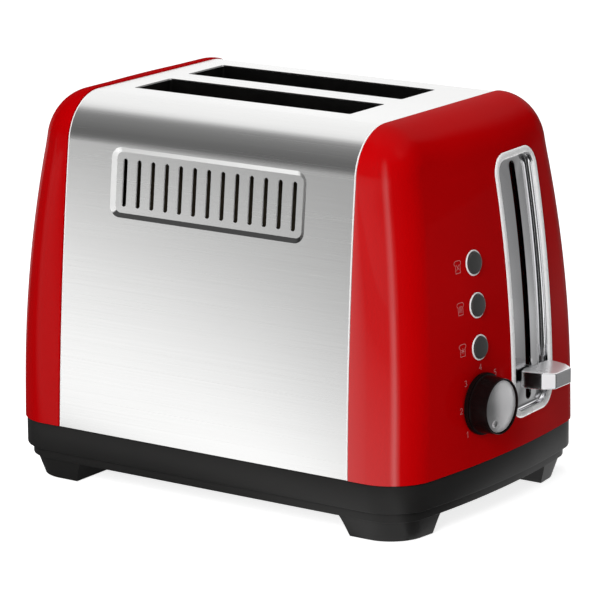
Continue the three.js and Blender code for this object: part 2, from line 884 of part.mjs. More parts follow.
// The bushing that the mains lead leaves by, snapped into the rear wall of the base.
function cordGland() {
  const wallOut = halfWidth - baseInset;
  const flangeIn = wallOut + seatGap;
  const innerFlange = wallOut - baseWall - seatGap;
  const profile = [
    [glandBoreRadius, flangeIn + glandFlange],
    [glandFlangeRadius, flangeIn + glandFlange],
    [glandFlangeRadius, flangeIn],
    [glandNeckRadius, flangeIn],
    [glandNeckRadius, innerFlange],
    [glandFlangeRadius, innerFlange],
    [glandFlangeRadius, innerFlange - glandInnerFlange],
    [glandBoreRadius, innerFlange - glandInnerFlange],
  ];
  const bush = turned([...profile, profile[0]], turnSides).rotateX(-Math.PI / 2);
  return solidOf(bush.translate(glandX, 0, glandZ));
}

function spread(middle, size) {
  return [middle - size / 2, middle + size / 2];
}

function terminalBlock() {
  const terminalX = glandX + terminalOffset;
  const terminalY = halfWidth - terminalInset;
  const top = trayBottom + terminalHeight;
  const lengthX = spread(terminalX, terminalLength);
  let block = slab(lengthX, spread(terminalY, terminalWidth), [trayBottom, top]);
  [-1, 1].forEach((side) => {
    const well = bar(terminalScrewRadius, [top - terminalHeight / 2, top + cutOverrun], turnSides);
    const placeX = terminalX + side * terminalLength / 4;
    block = block.subtract(solidOf(well.translate(placeX, terminalY, 0)));
  });
  return block;
}

function mainsSwitch() {
  const top = trayBottom + mainsSwitchHeight;
  const lengthX = spread(rightPlateX + mainsSwitchReach, mainsSwitchLength);
  const middleY = plateHalf - mainsSwitchInset;
  const block = slab(lengthX, spread(middleY, mainsSwitchWidth), [trayBottom, top]);
  const notch = spread(middleY, mainsSwitchNotch);
  return block.subtract(slab(lengthX, notch, [top - mainsSwitchNotch, top + cutOverrun]));
}

function crumbPan() {
  const panX = [handleBack + seatGap, rightPlateX - trayEndGap];
  const panZ = [trayBottom, trayBottom + trayDepth];
  const innerX = [panX[0] + traySheet, panX[1] - traySheet];
  const innerY = [traySheet - trayHalf, trayHalf - traySheet];
  const pan = slab(panX, [-trayHalf, trayHalf], panZ);
  return pan.subtract(slab(innerX, innerY, [trayBottom + traySheet, panZ[1] + cutOverrun]));
}

const handleBack = baseInset + handleDepth - endHalf;

function crumbHandle() {
  const top = trayBottom + handleHeight;
  const front = prismZ(planOutline(baseInset), [trayBottom, top]);
  const span = [-endHalf - cutOverrun, handleBack];
  const body = front.intersect(slab(span, [-handleHalf, handleHalf], [trayBottom, top]));
  const middle = (trayBottom + top) / 2;
  const gripX = [-endHalf - cutOverrun, baseInset + gripDepth - endHalf];
  return body.subtract(slab(gripX, [-gripHalf, gripHalf], spread(middle, gripHeight)));
}

// The chamber between the two chassis plates, centred on the bread slots.
const chamberHalf = slotLength / 2 + chamberMargin;
const rightPlateX = slotCentreX + chamberHalf;
const leftPlateX = slotCentreX - chamberHalf;
const chamberX = [leftPlateX + seatGap, rightPlateX - seatGap];
const linerTop = bodyTop - panelProud - wrapSheet - seatGap;
const neckZ = [rackTop - rackNeckDrop, rackTop - rackNeckDrop + rackNeckHeight];

function chassisPlate(spanX) {
  const shoulder = linerTop - plateShoulderDrop;
  const plateTopHalf = linerHalf + plateTopMargin;
  const outline = [
    [-plateHalf, trayBottom],
    [plateHalf, trayBottom],
    [plateHalf, shoulder],
    [plateTopHalf, linerTop],
    [-plateTopHalf, linerTop],
    [-plateHalf, shoulder],
  ];
  let plate = prismX(outline, spanX);
  [-1, 1].forEach((side) => {
    const across = spread(side * slotPitch / 2, rackNeck + 2 * slideGap);
    const along = [neckZ[0] - slideGap, neckZ[1] + leverTravel + slideGap];
    plate = plate.subtract(slab([spanX[0] - cutOverrun, spanX[1] + cutOverrun], across, along));
  });
  return plate;
}

const bracketZ = linerTop - bracketDrop;
const carriageX = rightPlateX + plateSheet + carriageGap;
const carriageFront = carriageX + carriageSheet;
const bushRadius = guideRodRadius + seatGap + bushWall;
const guideRodX = carriageFront + seatGap + bushRadius;

// The right plate has a bent top bracket that carries the guide rod and the lift spring.
function rightChassisPlate() {
  const plate = chassisPlate([rightPlateX, rightPlateX + plateSheet]);
  const reach = guideRodX + bushRadius + bracketReach;
  const across = [-bushRadius - bracketReach, springY + springRadius + bracketReach];
  const bracket = [bracketZ, bracketZ + bracketSheet];
  return plate.add(slab([rightPlateX + plateSheet / 2, reach], across, bracket));
}

// The left plate stands over the crumb tray, which slides out beneath it.
function leftChassisPlate() {
  const plate = chassisPlate([leftPlateX - plateSheet, leftPlateX]);
  const opening = handleHalf + seatGap + guideRibWidth + slideGap;
  const cutX = [leftPlateX - plateSheet - cutOverrun, leftPlateX + cutOverrun];
  const cutTop = trayBottom + handleHeight + slideGap;
  return plate.subtract(slab(cutX, [-opening, opening], [trayBottom - cutOverrun, cutTop]));
}

function slotLiner() {
  const outer = linerEase + linerSheet;
  let liner = slab(chamberX, [-linerHalf, linerHalf], [linerTop - linerSheet, linerTop]);
  [-1, 1].forEach((side) => {
    liner = liner.add(prismZ(slotOutline(side, outer), [linerTop - collarDepth, linerTop]));
  });
  [-1, 1].forEach((side) => {
    const span = [linerTop - collarDepth - cutOverrun, linerTop + cutOverrun];
    liner = liner.subtract(prismZ(slotOutline(side, linerEase), span));
  });
  return liner;
}

function heaterCard(y) {
  return slab(chamberX, spread(y, cardSheet), [cardBottom, linerTop - cardTopDrop]);
}

// One flat ribbon laid to and fro over the face of a card.
function heatingRibbon(middleY) {
  const across = spread(middleY, ribbonSheet);
  const low = cardBottom + ribbonEndMargin;
  const pitch = (linerTop - cardTopDrop - ribbonEndMargin - low) / (ribbonRuns - 1);
  const ends = [chamberX[0] + ribbonSideMargin, chamberX[1] - ribbonSideMargin];
  let ribbon = slab(ends, across, spread(low, ribbonWidth));
  for (let i = 1; i < ribbonRuns; i += 1) {
    const z = low + i * pitch;
    const end = ends[i % 2];
    const turn = i % 2 === 0 ? [end, end + ribbonWidth] : [end - ribbonWidth, end];
    ribbon = ribbon.add(slab(ends, across, spread(z, ribbonWidth)));
    ribbon = ribbon.add(slab(turn, across, [z - pitch - ribbonWidth / 2, z + ribbonWidth / 2]));
  }
  return ribbon;
}

const guardTop = linerTop - collarDepth - guardTopDrop;

// A grid of upright wires on two rails; the wire tops lean out towards the slot's edge.
function breadGuard(lean) {
  const rails = [guardBottom + guardRailInset, guardTop - guardFlareHeight - guardRailInset];
  const flare = lean * guardFlare;
  const loopAt = (y, z) => Array.from({ length: wireSides }, (_, i) => {
    const angle = (i / wireSides) * 2 * Math.PI;
    return [guardWireRadius * Math.cos(angle), y + guardWireRadius * Math.sin(angle), z];
  });
  const knee = guardTop - guardFlareHeight;
  const wire = [loopAt(0, guardBottom), loopAt(0, knee), loopAt(flare, guardTop)];
  const ends = [wire[0].map(() => [0, 0, guardBottom]), wire[2].map(() => [0, flare, guardTop])];
  const upright = loopSolid([ends[0], ...wire, ends[1]]);
  let guard = null;
  rails.forEach((z) => {
    const rod = bar(guardRailRadius, chamberX, wireSides).rotateY(Math.PI / 2);
    const rail = solidOf(rod.translate(0, 0, z));
    guard = guard ? guard.add(rail) : rail;
  });
  const span = chamberX[1] - chamberX[0] - 2 * guardWireMargin;
  for (let i = 0; i < guardWireCount; i += 1) {
    const x = chamberX[0] + guardWireMargin + span * i / (guardWireCount - 1);
    guard = guard.add(upright.translate([x, 0, 0]));
  }
  return guard;
}

function addGuards() {
  const leanBack = breadGuard(-1);
  const leanFore = breadGuard(1);
  const rows = [
    ['bread_guard_front_outer', leanBack, -guardOuterY],
    ['bread_guard_front_inner', leanFore, -guardInnerY],
    ['bread_guard_rear_inner', leanBack, guardInnerY],
    ['bread_guard_rear_outer', leanFore, guardOuterY],
  ];
  rows.forEach(([name, guard, y]) => {
    addPiece(name, guard, 'wireSteel').position.set(0, y, 0);
  });
}

// The rack that lifts one slice: a strip with teeth, and a neck through each chassis plate.
function breadRack() {
  const rackHalf = guardReach - rackEase;
  const strip = [chamberX[0] + rackEndMargin, chamberX[1] - rackEndMargin];
  const stripZ = [rackTop - rackSheet, rackTop];
  let rack = slab(strip, [-rackHalf, rackHalf], stripZ);
  const neck = [leftPlateX - plateSheet - rackEndMargin, carriageX - seatGap];
  rack = rack.add(slab(neck, spread(0, rackNeck), neckZ));
  const pitch = (strip[1] - strip[0]) / toothCount;
  for (let i = 0; i < toothCount; i += 1) {
    const x = strip[0] + (i + 0.5) * pitch;
    [-1, 1].forEach((side) => {
      const edge = side * rackHalf;
      const toothY = [edge, edge - side * rackSheet].sort((a, b) => a - b);
      const toothZ = [rackTop - rackSheet, rackTop + toothHeight];
      rack = rack.add(slab(spread(x, toothWidth), toothY, toothZ));
    });
  }
  return rack;
}

function carriagePlate() {
  const top = carriageBottom + carriageHeight;
  const carriageHalf = slotPitch / 2 + carriageMargin;
  const outline = roundedOutline(
    [-carriageHalf, carriageHalf],
    [carriageBottom, top],
    carriageCorner,
  );
  const tabX = [carriageX + carriageSheet / 2, guideRodX + springRadius];
  const tabZ = [carriageBottom, carriageBottom + springTab];
  const tab = slab(tabX, spread(springY, 2 * springTabHalf), tabZ);
  return prismX(outline, [carriageX, carriageFront]).add(tab);
}

function sliderBush() {
  const middle = carriageBottom + carriageHeight / 2 + springTab;
  const [from, to] = spread(middle, bushLength);
  const bore = guideRodRadius + seatGap;
  const profile = [[bore, from], [bushRadius, from], [bushRadius, to], [bore, to], [bore, from]];
  return solidOf(turned(profile, turnSides).translate(guideRodX, 0, 0));
}

// An open coil wound about +Z, as one tube.
function liftSpring() {
  const ends = [carriageBottom + springTab + seatGap + springWire, bracketZ - seatGap - springWire];
  const steps = springTurns * springSteps;
  const loops = [];
  for (let k = 0; k <= steps; k += 1) {
    const angle = (k / springSteps) * 2 * Math.PI;
    const height = THREE.MathUtils.lerp(ends[0], ends[1], k / steps);
    loops.push(Array.from({ length: springSides }, (_, i) => {
      const around = (i / springSides) * 2 * Math.PI;
      const radius = springRadius + springWire * Math.cos(around);
      const rise = springWire * Math.sin(around);
      return [radius * Math.cos(angle), radius * Math.sin(angle), height + rise];
    }));
  }
  const coil = loopSolid([capLoop(loops[0]), ...loops, capLoop(loops[steps])]);
  return coil.translate([guideRodX, springY, 0]);
}

const keeperZ = [carriageBottom - seatGap - keeperSheet, carriageBottom - seatGap];

function latchKeeper() {
  return slab([carriageX, carriageX + keeperReach], spread(magnetY, 2 * keeperHalf), keeperZ);
}

const coreX = [carriageX + coreInset, carriageX + coreInset + coreWidth];
const coreTop = keeperZ[0] - seatGap;
const coreHalf = keeperHalf - coilWall;

// A U-shaped core of two legs; the coil sits on the leg nearer the board.
function magnetCore() {
  const block = slab(coreX, spread(magnetY, 2 * coreHalf), [trayBottom, coreTop]);
  const gapX = [coreX[0] - cutOverrun, coreX[1] + cutOverrun];
  const gapY = spread(magnetY, 2 * (coreHalf - coreLeg));
  const gapZ = [trayBottom + coreYoke, coreTop + cutOverrun];
  return block.subtract(slab(gapX, gapY, gapZ));
}

function magnetCoil() {
  const legY = [magnetY - coreHalf, magnetY - coreHalf + coreLeg];
  const span = [trayBottom + coreYoke + seatGap, coreTop - coilMargin];
  const grow = ([low, high], by) => [low - by, high + by];
  const outer = slab(grow(coreX, coilWall), grow(legY, coilWall), span);
  return outer.subtract(slab(grow(coreX, seatGap), grow(legY, seatGap), grow(span, cutOverrun)));
}

const armY = leverY + leverSlotOffset;

function bezelOutline(inset) {
  return roundedOutline(
    [leverY - bezelWidth / 2 + inset, leverY + bezelWidth / 2 - inset],
    [bezelBottom + inset, bezelTop - inset],
    Math.max(bezelCorner - inset, bezelCorner / 4),
    { vSplits: bezelSteps },
  );
}

// The chrome bezel: a rim over the panel, and a tub whose floor has the lever's slot.
function leverBezel() {
  const onFace = (inset, offset) => bezelOutline(inset).map(([y, z]) => [faceAt(y, z) + offset, y, z]);
  const spine = (inset, offset) => bezelOutline(inset).map(([, z]) => {
    const half = bezelWidth / 2;
    const height = Math.min(Math.max(z, bezelBottom + half), bezelTop - half);
    return [faceAt(leverY, height) + offset, leverY, height];
  });
  const tub = bezelRim - bezelWall;
  const floorInset = bezelRim + bezelFillet;
  const loops = [
    spine(tub, -bezelDepth - bezelWall),
    onFace(tub, -bezelDepth - bezelWall),
    onFace(tub, seatGap),
    onFace(0, seatGap),
    onFace(0, (seatGap + bezelProud) / 2),
    onFace(bezelRim * bezelCrownShare, bezelProud),
    onFace(bezelRim * bezelEdgeShare, bezelProud),
    onFace(bezelRim, bezelProud * bezelLipShare),
    onFace(bezelRim, bezelFillet - bezelDepth),
    onFace(floorInset, -bezelDepth),
    spine(floorInset, -bezelDepth),
  ];
  const slotZ = [bezelBottom + leverSlotMargin, bezelTop - leverSlotMargin];
  const slotRadius = leverSlotWidth / 2;
  const slot = roundedOutline(spread(armY, leverSlotWidth), slotZ, slotRadius * obroundShare);
  const cutX = [faceAt(leverY, bezelTop) - shoulderRadius, endHalf + cutOverrun];
  return loopSolid(loops).subtract(prismX(slot, cutX));
}

function leverArm() {
  const span = [carriageFront + seatGap, leverKnobBack + armPocket];
  return slab(span, spread(armY, armSheet), spread(leverRest, armHeight));
}

// The handle widens from a neck at the slot and has two slanted corners in front.
function leverKnob() {
  const loops = knobStations.map(([reach, half, rise]) => {
    const across = spread(armY, 2 * half);
    const upright = spread(leverRest, 2 * rise);
    const outline = roundedOutline(across, upright, leverKnobCorner);
    return outline.map(([y, z]) => [leverKnobBack + reach, y, z]);
  });
  const knob = loopSolid([capLoop(loops[0]), ...loops, capLoop(loops[loops.length - 1])]);
  const pocketX = [leverKnobBack - cutOverrun, leverKnobBack + armPocket + seatGap];
  const pocketY = spread(armY, armSheet + 2 * seatGap);
  const pocketZ = spread(leverRest, armHeight + 2 * seatGap);
  return knob.subtract(slab(pocketX, pocketY, pocketZ));
}

// The dial turns on a shaft in the control on the board; heights are out of the end face.
const dialBack = 2 * seatGap;
const dialSeatTop = dialHeight - dialCapSink - dialCapSheet;
const dialLean = faceNormal(controlY, dialZ).x;
const dialTilt = Math.sqrt(1 - dialLean ** 2) / dialLean;
const boardReach = (boardFront + seatGap - faceAt(controlY, dialZ)) / dialLean;
const potBack = boardReach + potRadius * dialTilt;

function browningDial() {
  const bore = dialShaftRadius + seatGap;
  const profile = [
    [0, dialShaftReach + seatGap],
    [bore, dialShaftReach + seatGap],
    [bore, dialBack],
    [dialBaseRadius, dialBack],
    [dialBaseRadius, dialBack + dialStep],
    [dialTopRadius + dialCoveWidth, dialBack + dialStep + dialCove],
    [dialTopRadius, dialHeight],
    [dialCapRadius + seatGap, dialHeight],
    [dialCapRadius + seatGap, dialSeatTop - seatGap],
    [0, dialSeatTop - seatGap],
  ];
  return solidOf(turned(profile, dialSides));
}

function dialCap() {
  return solidOf(turned([
    [0, dialSeatTop],
    [dialCapRadius, dialSeatTop],
    [dialCapRadius, dialSeatTop + dialCapSheet - dialCapEdge],
    [dialCapRadius - dialCapEdge, dialSeatTop + dialCapSheet],
    [0, dialSeatTop + dialCapSheet],
  ], dialSides));
}

function potBody() {
  const bore = dialShaftRadius + seatGap;
  const front = potBack + potDepth;
  return solidOf(turned([
    [0, potBack],
    [potRadius, potBack],
    [potRadius, front],
    [potNeckRadius, front],
    [potNeckRadius, front + potNeckLength],
    [bore, front + potNeckLength],
    [bore, potBack + potFloor],
    [0, potBack + potFloor],
  ], turnSides));
}

function addDial() {
  toaster.add(dialSeat);
  addPiece('browning_dial', browningDial(), 'blackGloss', dialSeat);
  addPiece('dial_cap', dialCap(), 'spunMetal', dialSeat);
  const shaft = bar(dialShaftRadius, [potBack + potFloor + seatGap, dialShaftReach], turnSides);
  addPiece('dial_shaft', solidOf(shaft), 'brass', dialSeat);
  addPiece('browning_control', potBody(), 'softIron', dialSeat);
}

function buttonRing() {
  const bore = buttonRadius + seatGap;
  const neck = bore + ringWall;
  const profile = [
    [bore, -panelWall - ringWall],
    [neck, -panelWall - ringWall],
    [neck, seatGap],
    [ringRadius, seatGap],
    [ringRadius, ringProud - ringEdge],
    [ringRadius - ringEdge, ringProud],
    [bore, ringProud],
    [bore, -panelWall - ringWall],
  ];
  return solidOf(turned(profile, ringSides));
}

function buttonCap(stemEnd) {
  const profile = [
    [0, stemEnd],
    [buttonStemRadius, stemEnd],
    [buttonStemRadius, -buttonSkirt],
    [buttonRadius, -buttonSkirt],
    [buttonRadius, buttonProud - buttonDome],
    [buttonRadius - buttonDome, buttonProud - buttonDome * domeShare],
    [0, buttonProud],
  ];
  return solidOf(turned(profile, ringSides));
}

// A switch on the board face whose plunger the pressed stem almost reaches.
function boardSwitch() {
  const base = boardFront + seatGap;
  const square = [-switchHalf, switchHalf];
  const body = slab([base, base + switchHeight], square, square);
  const plungerX = [base + switchHeight / 2, base + switchHeight + plungerHeight];
  const plunger = bar(plungerRadius, plungerX, turnSides);
  return body.add(solidOf(plunger.rotateY(Math.PI / 2)));
}

function addButtons() {
  const switchTop = boardFront + seatGap + switchHeight + plungerHeight;
  buttonSeats.forEach((seat, i) => {
    const name = buttonNames[i];
    const normal = faceNormal(seat.position.y, seat.position.z);
    const reach = (seat.position.x - switchTop) / normal.x;
    const tilt = buttonStemRadius * Math.sqrt(1 - normal.x ** 2);
    const stemEnd = buttonTravel + seatGap + tilt - reach;
    toaster.add(seat);
    addPiece(`button_ring_${name}`, buttonRing(), 'chrome', seat);
    addPiece(`button_${name}`, buttonCap(stemEnd), 'darkCap', seat);
    const target = seat.position.clone().addScaledVector(normal, -reach);
    addPiece(`switch_${name}`, boardSwitch(), 'whitePlastic').position.set(0, target.y, target.z);
  });
}

function circuitBoard() {
  const span = [boardFront - boardSheet, boardFront];
  const outline = roundedOutline(boardY, boardZ, boardCorner);
  return prismX(outline, span);
}

function addCasing() {
  addPiece('steel_wrap', steelWrap(), 'brushedSteel');
  addPiece('right_end_panel', rightEndPanel(), 'redPaint');
  addPiece('left_end_panel', leftEndPanel(), 'redPaint');
  addPiece('base_tray', baseTray(), 'blackPlastic');
  addFeetAndScrews();
  addPiece('cord_gland', cordGland(), 'softRubber');
}

function addChamber() {
  addPiece('chassis_plate_right', rightChassisPlate(), 'chassisSteel');
  addPiece('chassis_plate_left', leftChassisPlate(), 'chassisSteel');
  addPiece('slot_liner', slotLiner(), 'chassisSteel');
  addPiece('heater_card_front', heaterCard(-outerCardY), 'mica');
  addPiece('heater_card_centre', heaterCard(0), 'mica');
  addPiece('heater_card_rear', heaterCard(outerCardY), 'mica');
  const standOff = cardSheet / 2 + seatGap + ribbonSheet / 2;
  const ribbon = heatingRibbon(0);
  const faces = [standOff - outerCardY, -standOff, standOff, outerCardY - standOff];
  faces.forEach((y, i) => {
    addPiece(`heating_ribbon_${i + 1}`, ribbon.translate([0, y, 0]), 'heatingRibbon');
  });
  addGuards();
}

function addLift() {
  const rack = breadRack();
  addPiece('bread_rack_front', rack.translate([0, -slotPitch / 2, 0]), 'wireSteel');
  addPiece('bread_rack_rear', rack.translate([0, slotPitch / 2, 0]), 'wireSteel');
  addPiece('carriage_plate', carriagePlate(), 'chassisSteel');
  addPiece('slider_bush', sliderBush(), 'whitePlastic');
  const rod = bar(guideRodRadius, [trayBottom, bracketZ - seatGap], turnSides);
  addPiece('guide_rod', solidOf(rod.translate(guideRodX, 0, 0)), 'zincScrew');
  addPiece('lift_spring', liftSpring(), 'wireSteel');
  addPiece('latch_keeper', latchKeeper(), 'softIron');
  addPiece('magnet_core', magnetCore(), 'softIron');
  addPiece('magnet_coil', magnetCoil(), 'coilCopper');
  addPiece('lever_arm', leverArm(), 'chassisSteel');
  addPiece('lever_knob', leverKnob(), 'chrome');
  addPiece('lever_bezel', leverBezel(), 'chrome');
}

function addTrayAndElectrics() {
  addPiece('crumb_tray', crumbPan(), 'chassisSteel');
  addPiece('crumb_tray_handle', crumbHandle(), 'blackPlastic');
  addPiece('circuit_board', circuitBoard(), 'boardGreen');
  addPiece('terminal_block', terminalBlock(), 'whitePlastic');
  addPiece('mains_switch', mainsSwitch(), 'blackPlastic');
}

addCasing();
addChamber();
addLift();
addTrayAndElectrics();
addDial();
addButtons();

// The origin is under the middle of the whole toaster, knobs included.
const leverTip = leverKnobBack + knobStations[knobStations.length - 1][0];
const dialTip = dialSeat.position.x + dialHeight + dialTopRadius * dialTilt;
toaster.position.x = (endHalf - Math.max(leverTip, dialTip)) / 2;

export default toaster;
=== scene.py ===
from math import atan, copysign, cos, hypot, pi, radians, sin

import bmesh
import bpy
from mathutils import Matrix, Vector


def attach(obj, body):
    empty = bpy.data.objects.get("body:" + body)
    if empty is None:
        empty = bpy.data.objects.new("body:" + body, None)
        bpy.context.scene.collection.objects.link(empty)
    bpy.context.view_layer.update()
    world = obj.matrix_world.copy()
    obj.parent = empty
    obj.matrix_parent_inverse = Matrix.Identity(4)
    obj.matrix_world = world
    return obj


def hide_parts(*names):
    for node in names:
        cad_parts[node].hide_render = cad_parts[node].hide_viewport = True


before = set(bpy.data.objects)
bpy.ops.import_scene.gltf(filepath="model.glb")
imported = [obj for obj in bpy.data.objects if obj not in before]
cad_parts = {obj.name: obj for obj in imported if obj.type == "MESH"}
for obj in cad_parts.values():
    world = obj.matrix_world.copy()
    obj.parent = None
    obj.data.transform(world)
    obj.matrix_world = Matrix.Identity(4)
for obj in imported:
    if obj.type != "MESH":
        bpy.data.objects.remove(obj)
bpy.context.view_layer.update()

# Base tray: the black moulded floor of the toaster. A band carries the casing and a skirt
# steps in under it, both along the casing's lower edge. All is drawn in millimetres from the
# middle of the casing, which is 8.6 mm to the left of the middle of the whole toaster.
CASING_MIDDLE_X = -8.6
METRES = 0.001
HALF_WIDTH = 88.4
END_HALF = 131.5
END_FILLET = 21.5
END_BOW_RADIUS = 500
FILLET_STEPS = 14
FACE_STEPS = 10
BAND_INSET = 0.9
BAND_TOP = 32
BAND_BOTTOM = 17.3
BAND_ROUND = 0.6
SKIRT_INSET = 4.2
SKIRT_BOTTOM = 11.8
TRAY_WALL = 2.5
ROUND_MIDDLE = 0.2
FLOOR_TOP = 19.3
FLOOR_UNDERSIDE = 16.8
MOUTH_HALF = 58.3
MOUTH_BACK = -118.6
MOUTH_TOP = 29.3
GLAND = (-86, 25.65)
GLAND_HOLE_RADIUS = 4.8
GLAND_WALL = 6
CLEAR = 4


class Signal:
    """A value, vector or colour on its way through the node tree of a finish."""

    def __init__(self, nodes, socket):
        self.nodes = nodes
        self.socket = socket

    def math(self, operation, *terms):
        return self.nodes.node("Math", dict(enumerate(terms)), {"operation": operation})

    def __add__(self, other):
        return self.math("ADD", self, other)

    __radd__ = __add__

    def __sub__(self, other):
        return self.math("SUBTRACT", self, other)

    def __rsub__(self, other):
        return self.math("SUBTRACT", other, self)

    def __mul__(self, other):
        return self.math("MULTIPLY", self, other)

    __rmul__ = __mul__

    def __truediv__(self, other):
        return self.math("DIVIDE", self, other)

    def __abs__(self):
        return self.math("ABSOLUTE", self)

    def __pow__(self, other):
        return self.math("POWER", self, other)

    def __lt__(self, other):
        return self.math("LESS_THAN", self, other)


class Nodes:
    """A node tree that a finish or the surrounding light is drawn in."""

    def __init__(self, tree):
        self.tree = tree

    def node(self, kind, inputs=None, settings=None, output=0):
        made = self.tree.nodes.new("ShaderNode" + kind)
        for name, value in (settings or {}).items():
            if name == "stops":
                while len(made.color_ramp.elements) < len(value):
                    made.color_ramp.elements.new(1)
                for stop, (place, colour) in zip(made.color_ramp.elements, value):
                    stop.position = place
                    stop.color = colour
            else:
                setattr(made, name, value)
        for name, value in (inputs or {}).items():
            self.feed(made.inputs[name], value)
        return Signal(self, made.outputs[output])

    def feed(self, socket, value):
        if isinstance(value, Signal):
            self.tree.links.new(value.socket, socket)
        else:
            socket.default_value = value

    def axis(self, where, name):
        return self.node("SeparateXYZ", {0: where}, output=name)

    def spot(self):
        return self.node("TexCoord", output="Object")

    def normal(self):
        return self.node("NewGeometry", output="Normal")

    def facing(self, name):
        """How far the surface faces along one axis of the toaster, from -1 to 1."""
        return self.axis(self.normal(), name)

    def eased(self, value, low, high):
        """How far a value is from low to high, as a soft share between 0 and 1."""
        inputs = {"Value": value, "From Min": low, "From Max": high}
        return self.node("MapRange", inputs, {"interpolation_type": "SMOOTHSTEP"})


class Finish(Nodes):
    """One finish of the toaster: a material with a single Principled surface."""

    def __init__(self, name, surface):
        self.material = bpy.data.materials.new(name)
        self.material.use_nodes = True
        super().__init__(self.material.node_tree)
        self.surface = self.tree.nodes["Principled BSDF"]
        for socket, value in surface.items():
            self.surface.inputs[socket].default_value = value

    def place(self, stretch):
        return self.node("VectorMath", {0: self.spot(), 1: stretch}, {"operation": "MULTIPLY"})

    def noise(self, stretch, detail=2, roughness=0.5):
        inputs = {"Vector": self.place(stretch), "Scale": 1, "Detail": detail,
                  "Roughness": roughness}
        return self.node("TexNoise", inputs)

    def cells(self, stretch, feature="F1"):
        inputs = {"Vector": self.place(stretch), "Scale": 1}
        return self.node("TexVoronoi", inputs, {"feature": feature})

    def mixed(self, share, low, high):
        return self.node("Mix", {0: share, 6: low, 7: high}, {"data_type": "RGBA"}, 2)

    def dress(self, socket, value):
        self.feed(self.surface.inputs[socket], value)

    def tinted(self, share, low, high):
        self.dress("Base Color", self.mixed(share, low, high))

    def roughened(self, roughness):
        self.dress("Roughness", roughness)

    def bumped(self, height, distance, strength):
        inputs = {"Height": height, "Distance": distance, "Strength": strength}
        self.dress("Normal", self.node("Bump", inputs))


def grey(level, warmth=0):
    return (level * (1 + warmth), level, level * (1 - warmth), 1)


def drawn(name, points, faces):
    """A new object in the scene, with these points and faces as its mesh."""
    mesh = bpy.data.meshes.new(name)
    mesh.from_pydata(points, [], faces)
    made = bpy.data.objects.new(name, mesh)
    bpy.context.scene.collection.objects.link(made)
    return made


def piece(name, points, faces, finish, slot, body="housing", seat=None, smooth=True):
    """A piece in one finish, from the casing's middle or, with a seat, about its own axis."""
    middle = CASING_MIDDLE_X if seat is None else 0
    in_metres = [((x + middle) * METRES, y * METRES, z * METRES) for x, y, z in points]
    made = drawn(name, in_metres, faces)
    made.data.validate()
    made.data.materials.append(finish.material)
    outward(made)
    if smooth:
        shaded(made)
    if seat is not None:
        made.matrix_world = seat
    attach(made, body)
    return made


def outward(made):
    """Points that coincide are joined, and every face is turned to the outside."""
    shell = bmesh.new()
    shell.from_mesh(made.data)
    bmesh.ops.remove_doubles(shell, verts=shell.verts, dist=1e-7)
    bmesh.ops.recalc_face_normals(shell, faces=shell.faces)
    shell.to_mesh(made.data)
    shell.free()


def shaded(made, degrees=32):
    made.data.shade_smooth()
    made.data.set_sharp_from_angle(angle=radians(degrees))


def ring_faces(rows, count):
    """Quads between closed rings of equal point counts."""
    faces = []
    for row in range(rows - 1):
        for i in range(count):
            after = (i + 1) % count
            low, high = row * count, (row + 1) * count
            faces.append((low + i, low + after, high + after, high + i))
    return faces


def skinned(rings, capped=True):
    """Points and faces of a skin over closed rings, with its two ends closed."""
    count = len(rings[0])
    points = [point for ring in rings for point in ring]
    faces = ring_faces(len(rings), count)
    if capped:
        faces.append(tuple(reversed(range(count))))
        faces.append(tuple(range(len(points) - count, len(points))))
    return points, faces


def cutter(points, faces):
    made = drawn("cutter", points, faces)
    made.data.transform(Matrix.Scale(METRES, 4) @ Matrix.Translation((CASING_MIDDLE_X, 0, 0)))
    outward(made)
    return made


def carved(made, cutters, operation="DIFFERENCE"):
    """The piece with every cutter taken out of it, or added to it."""
    for tool in cutters:
        change = made.modifiers.new("carving", "BOOLEAN")
        change.operation = operation
        change.solver = "EXACT"
        change.object = tool
    settled(made)
    for tool in cutters:
        bpy.data.objects.remove(tool)


def settled(made):
    """The modifiers' result becomes the piece's own mesh."""
    graph = bpy.context.evaluated_depsgraph_get()
    result = bpy.data.meshes.new_from_object(made.evaluated_get(graph))
    made.modifiers.clear()
    made.data = result
    shaded(made)


def block(low, high):
    corners = [(x, y, z) for z in (low[2], high[2]) for x, y in (
        (low[0], low[1]), (high[0], low[1]), (high[0], high[1]), (low[0], high[1]))]
    return skinned([corners[:4], corners[4:]])


def turned_rings(profile, sides, centre=(0, 0)):
    return [[(centre[0] + radius * cos(2 * pi * i / sides),
              centre[1] + radius * sin(2 * pi * i / sides), height)
             for i in range(sides)] for radius, height in profile]


def end_at(y, inset=0):
    """How far out the bowed end of the plan stands, moved in by an inset."""
    return END_HALF - inset - y * y / (2 * END_BOW_RADIUS)


def plan_corner(inset, radius=None):
    """The corner of the casing's plan on +X and +Y, from the end face to the side."""
    radius = END_FILLET - inset if radius is None else radius
    points = []
    for i in range(FILLET_STEPS + 1):
        angle = pi / 2 * (1 - i / FILLET_STEPS)
        y = HALF_WIDTH - inset - radius * (1 - cos(angle))
        points.append((end_at(y, inset) - radius * (1 - sin(angle)), y))
    return points


def plan_ring(inset, height):
    """The whole plan outline at one height, moved in by an inset."""
    corner = plan_corner(inset)
    face = [corner[0][1] * i / FACE_STEPS for i in range(FACE_STEPS)]
    quarter = [(end_at(y, inset), y) for y in face] + corner
    upper = quarter + [(-x, y) for x, y in reversed(quarter)]
    lower = [(x, -y) for x, y in reversed(upper[1:-1])]
    return [(x, y, height) for x, y in upper + lower]


def floor_ring(height):
    """A small ring inside the floor, on which the tray's skin closes."""
    return [(x * 0.5, y * 0.3, z) for x, y, z in plan_ring(END_FILLET - 1, height)]


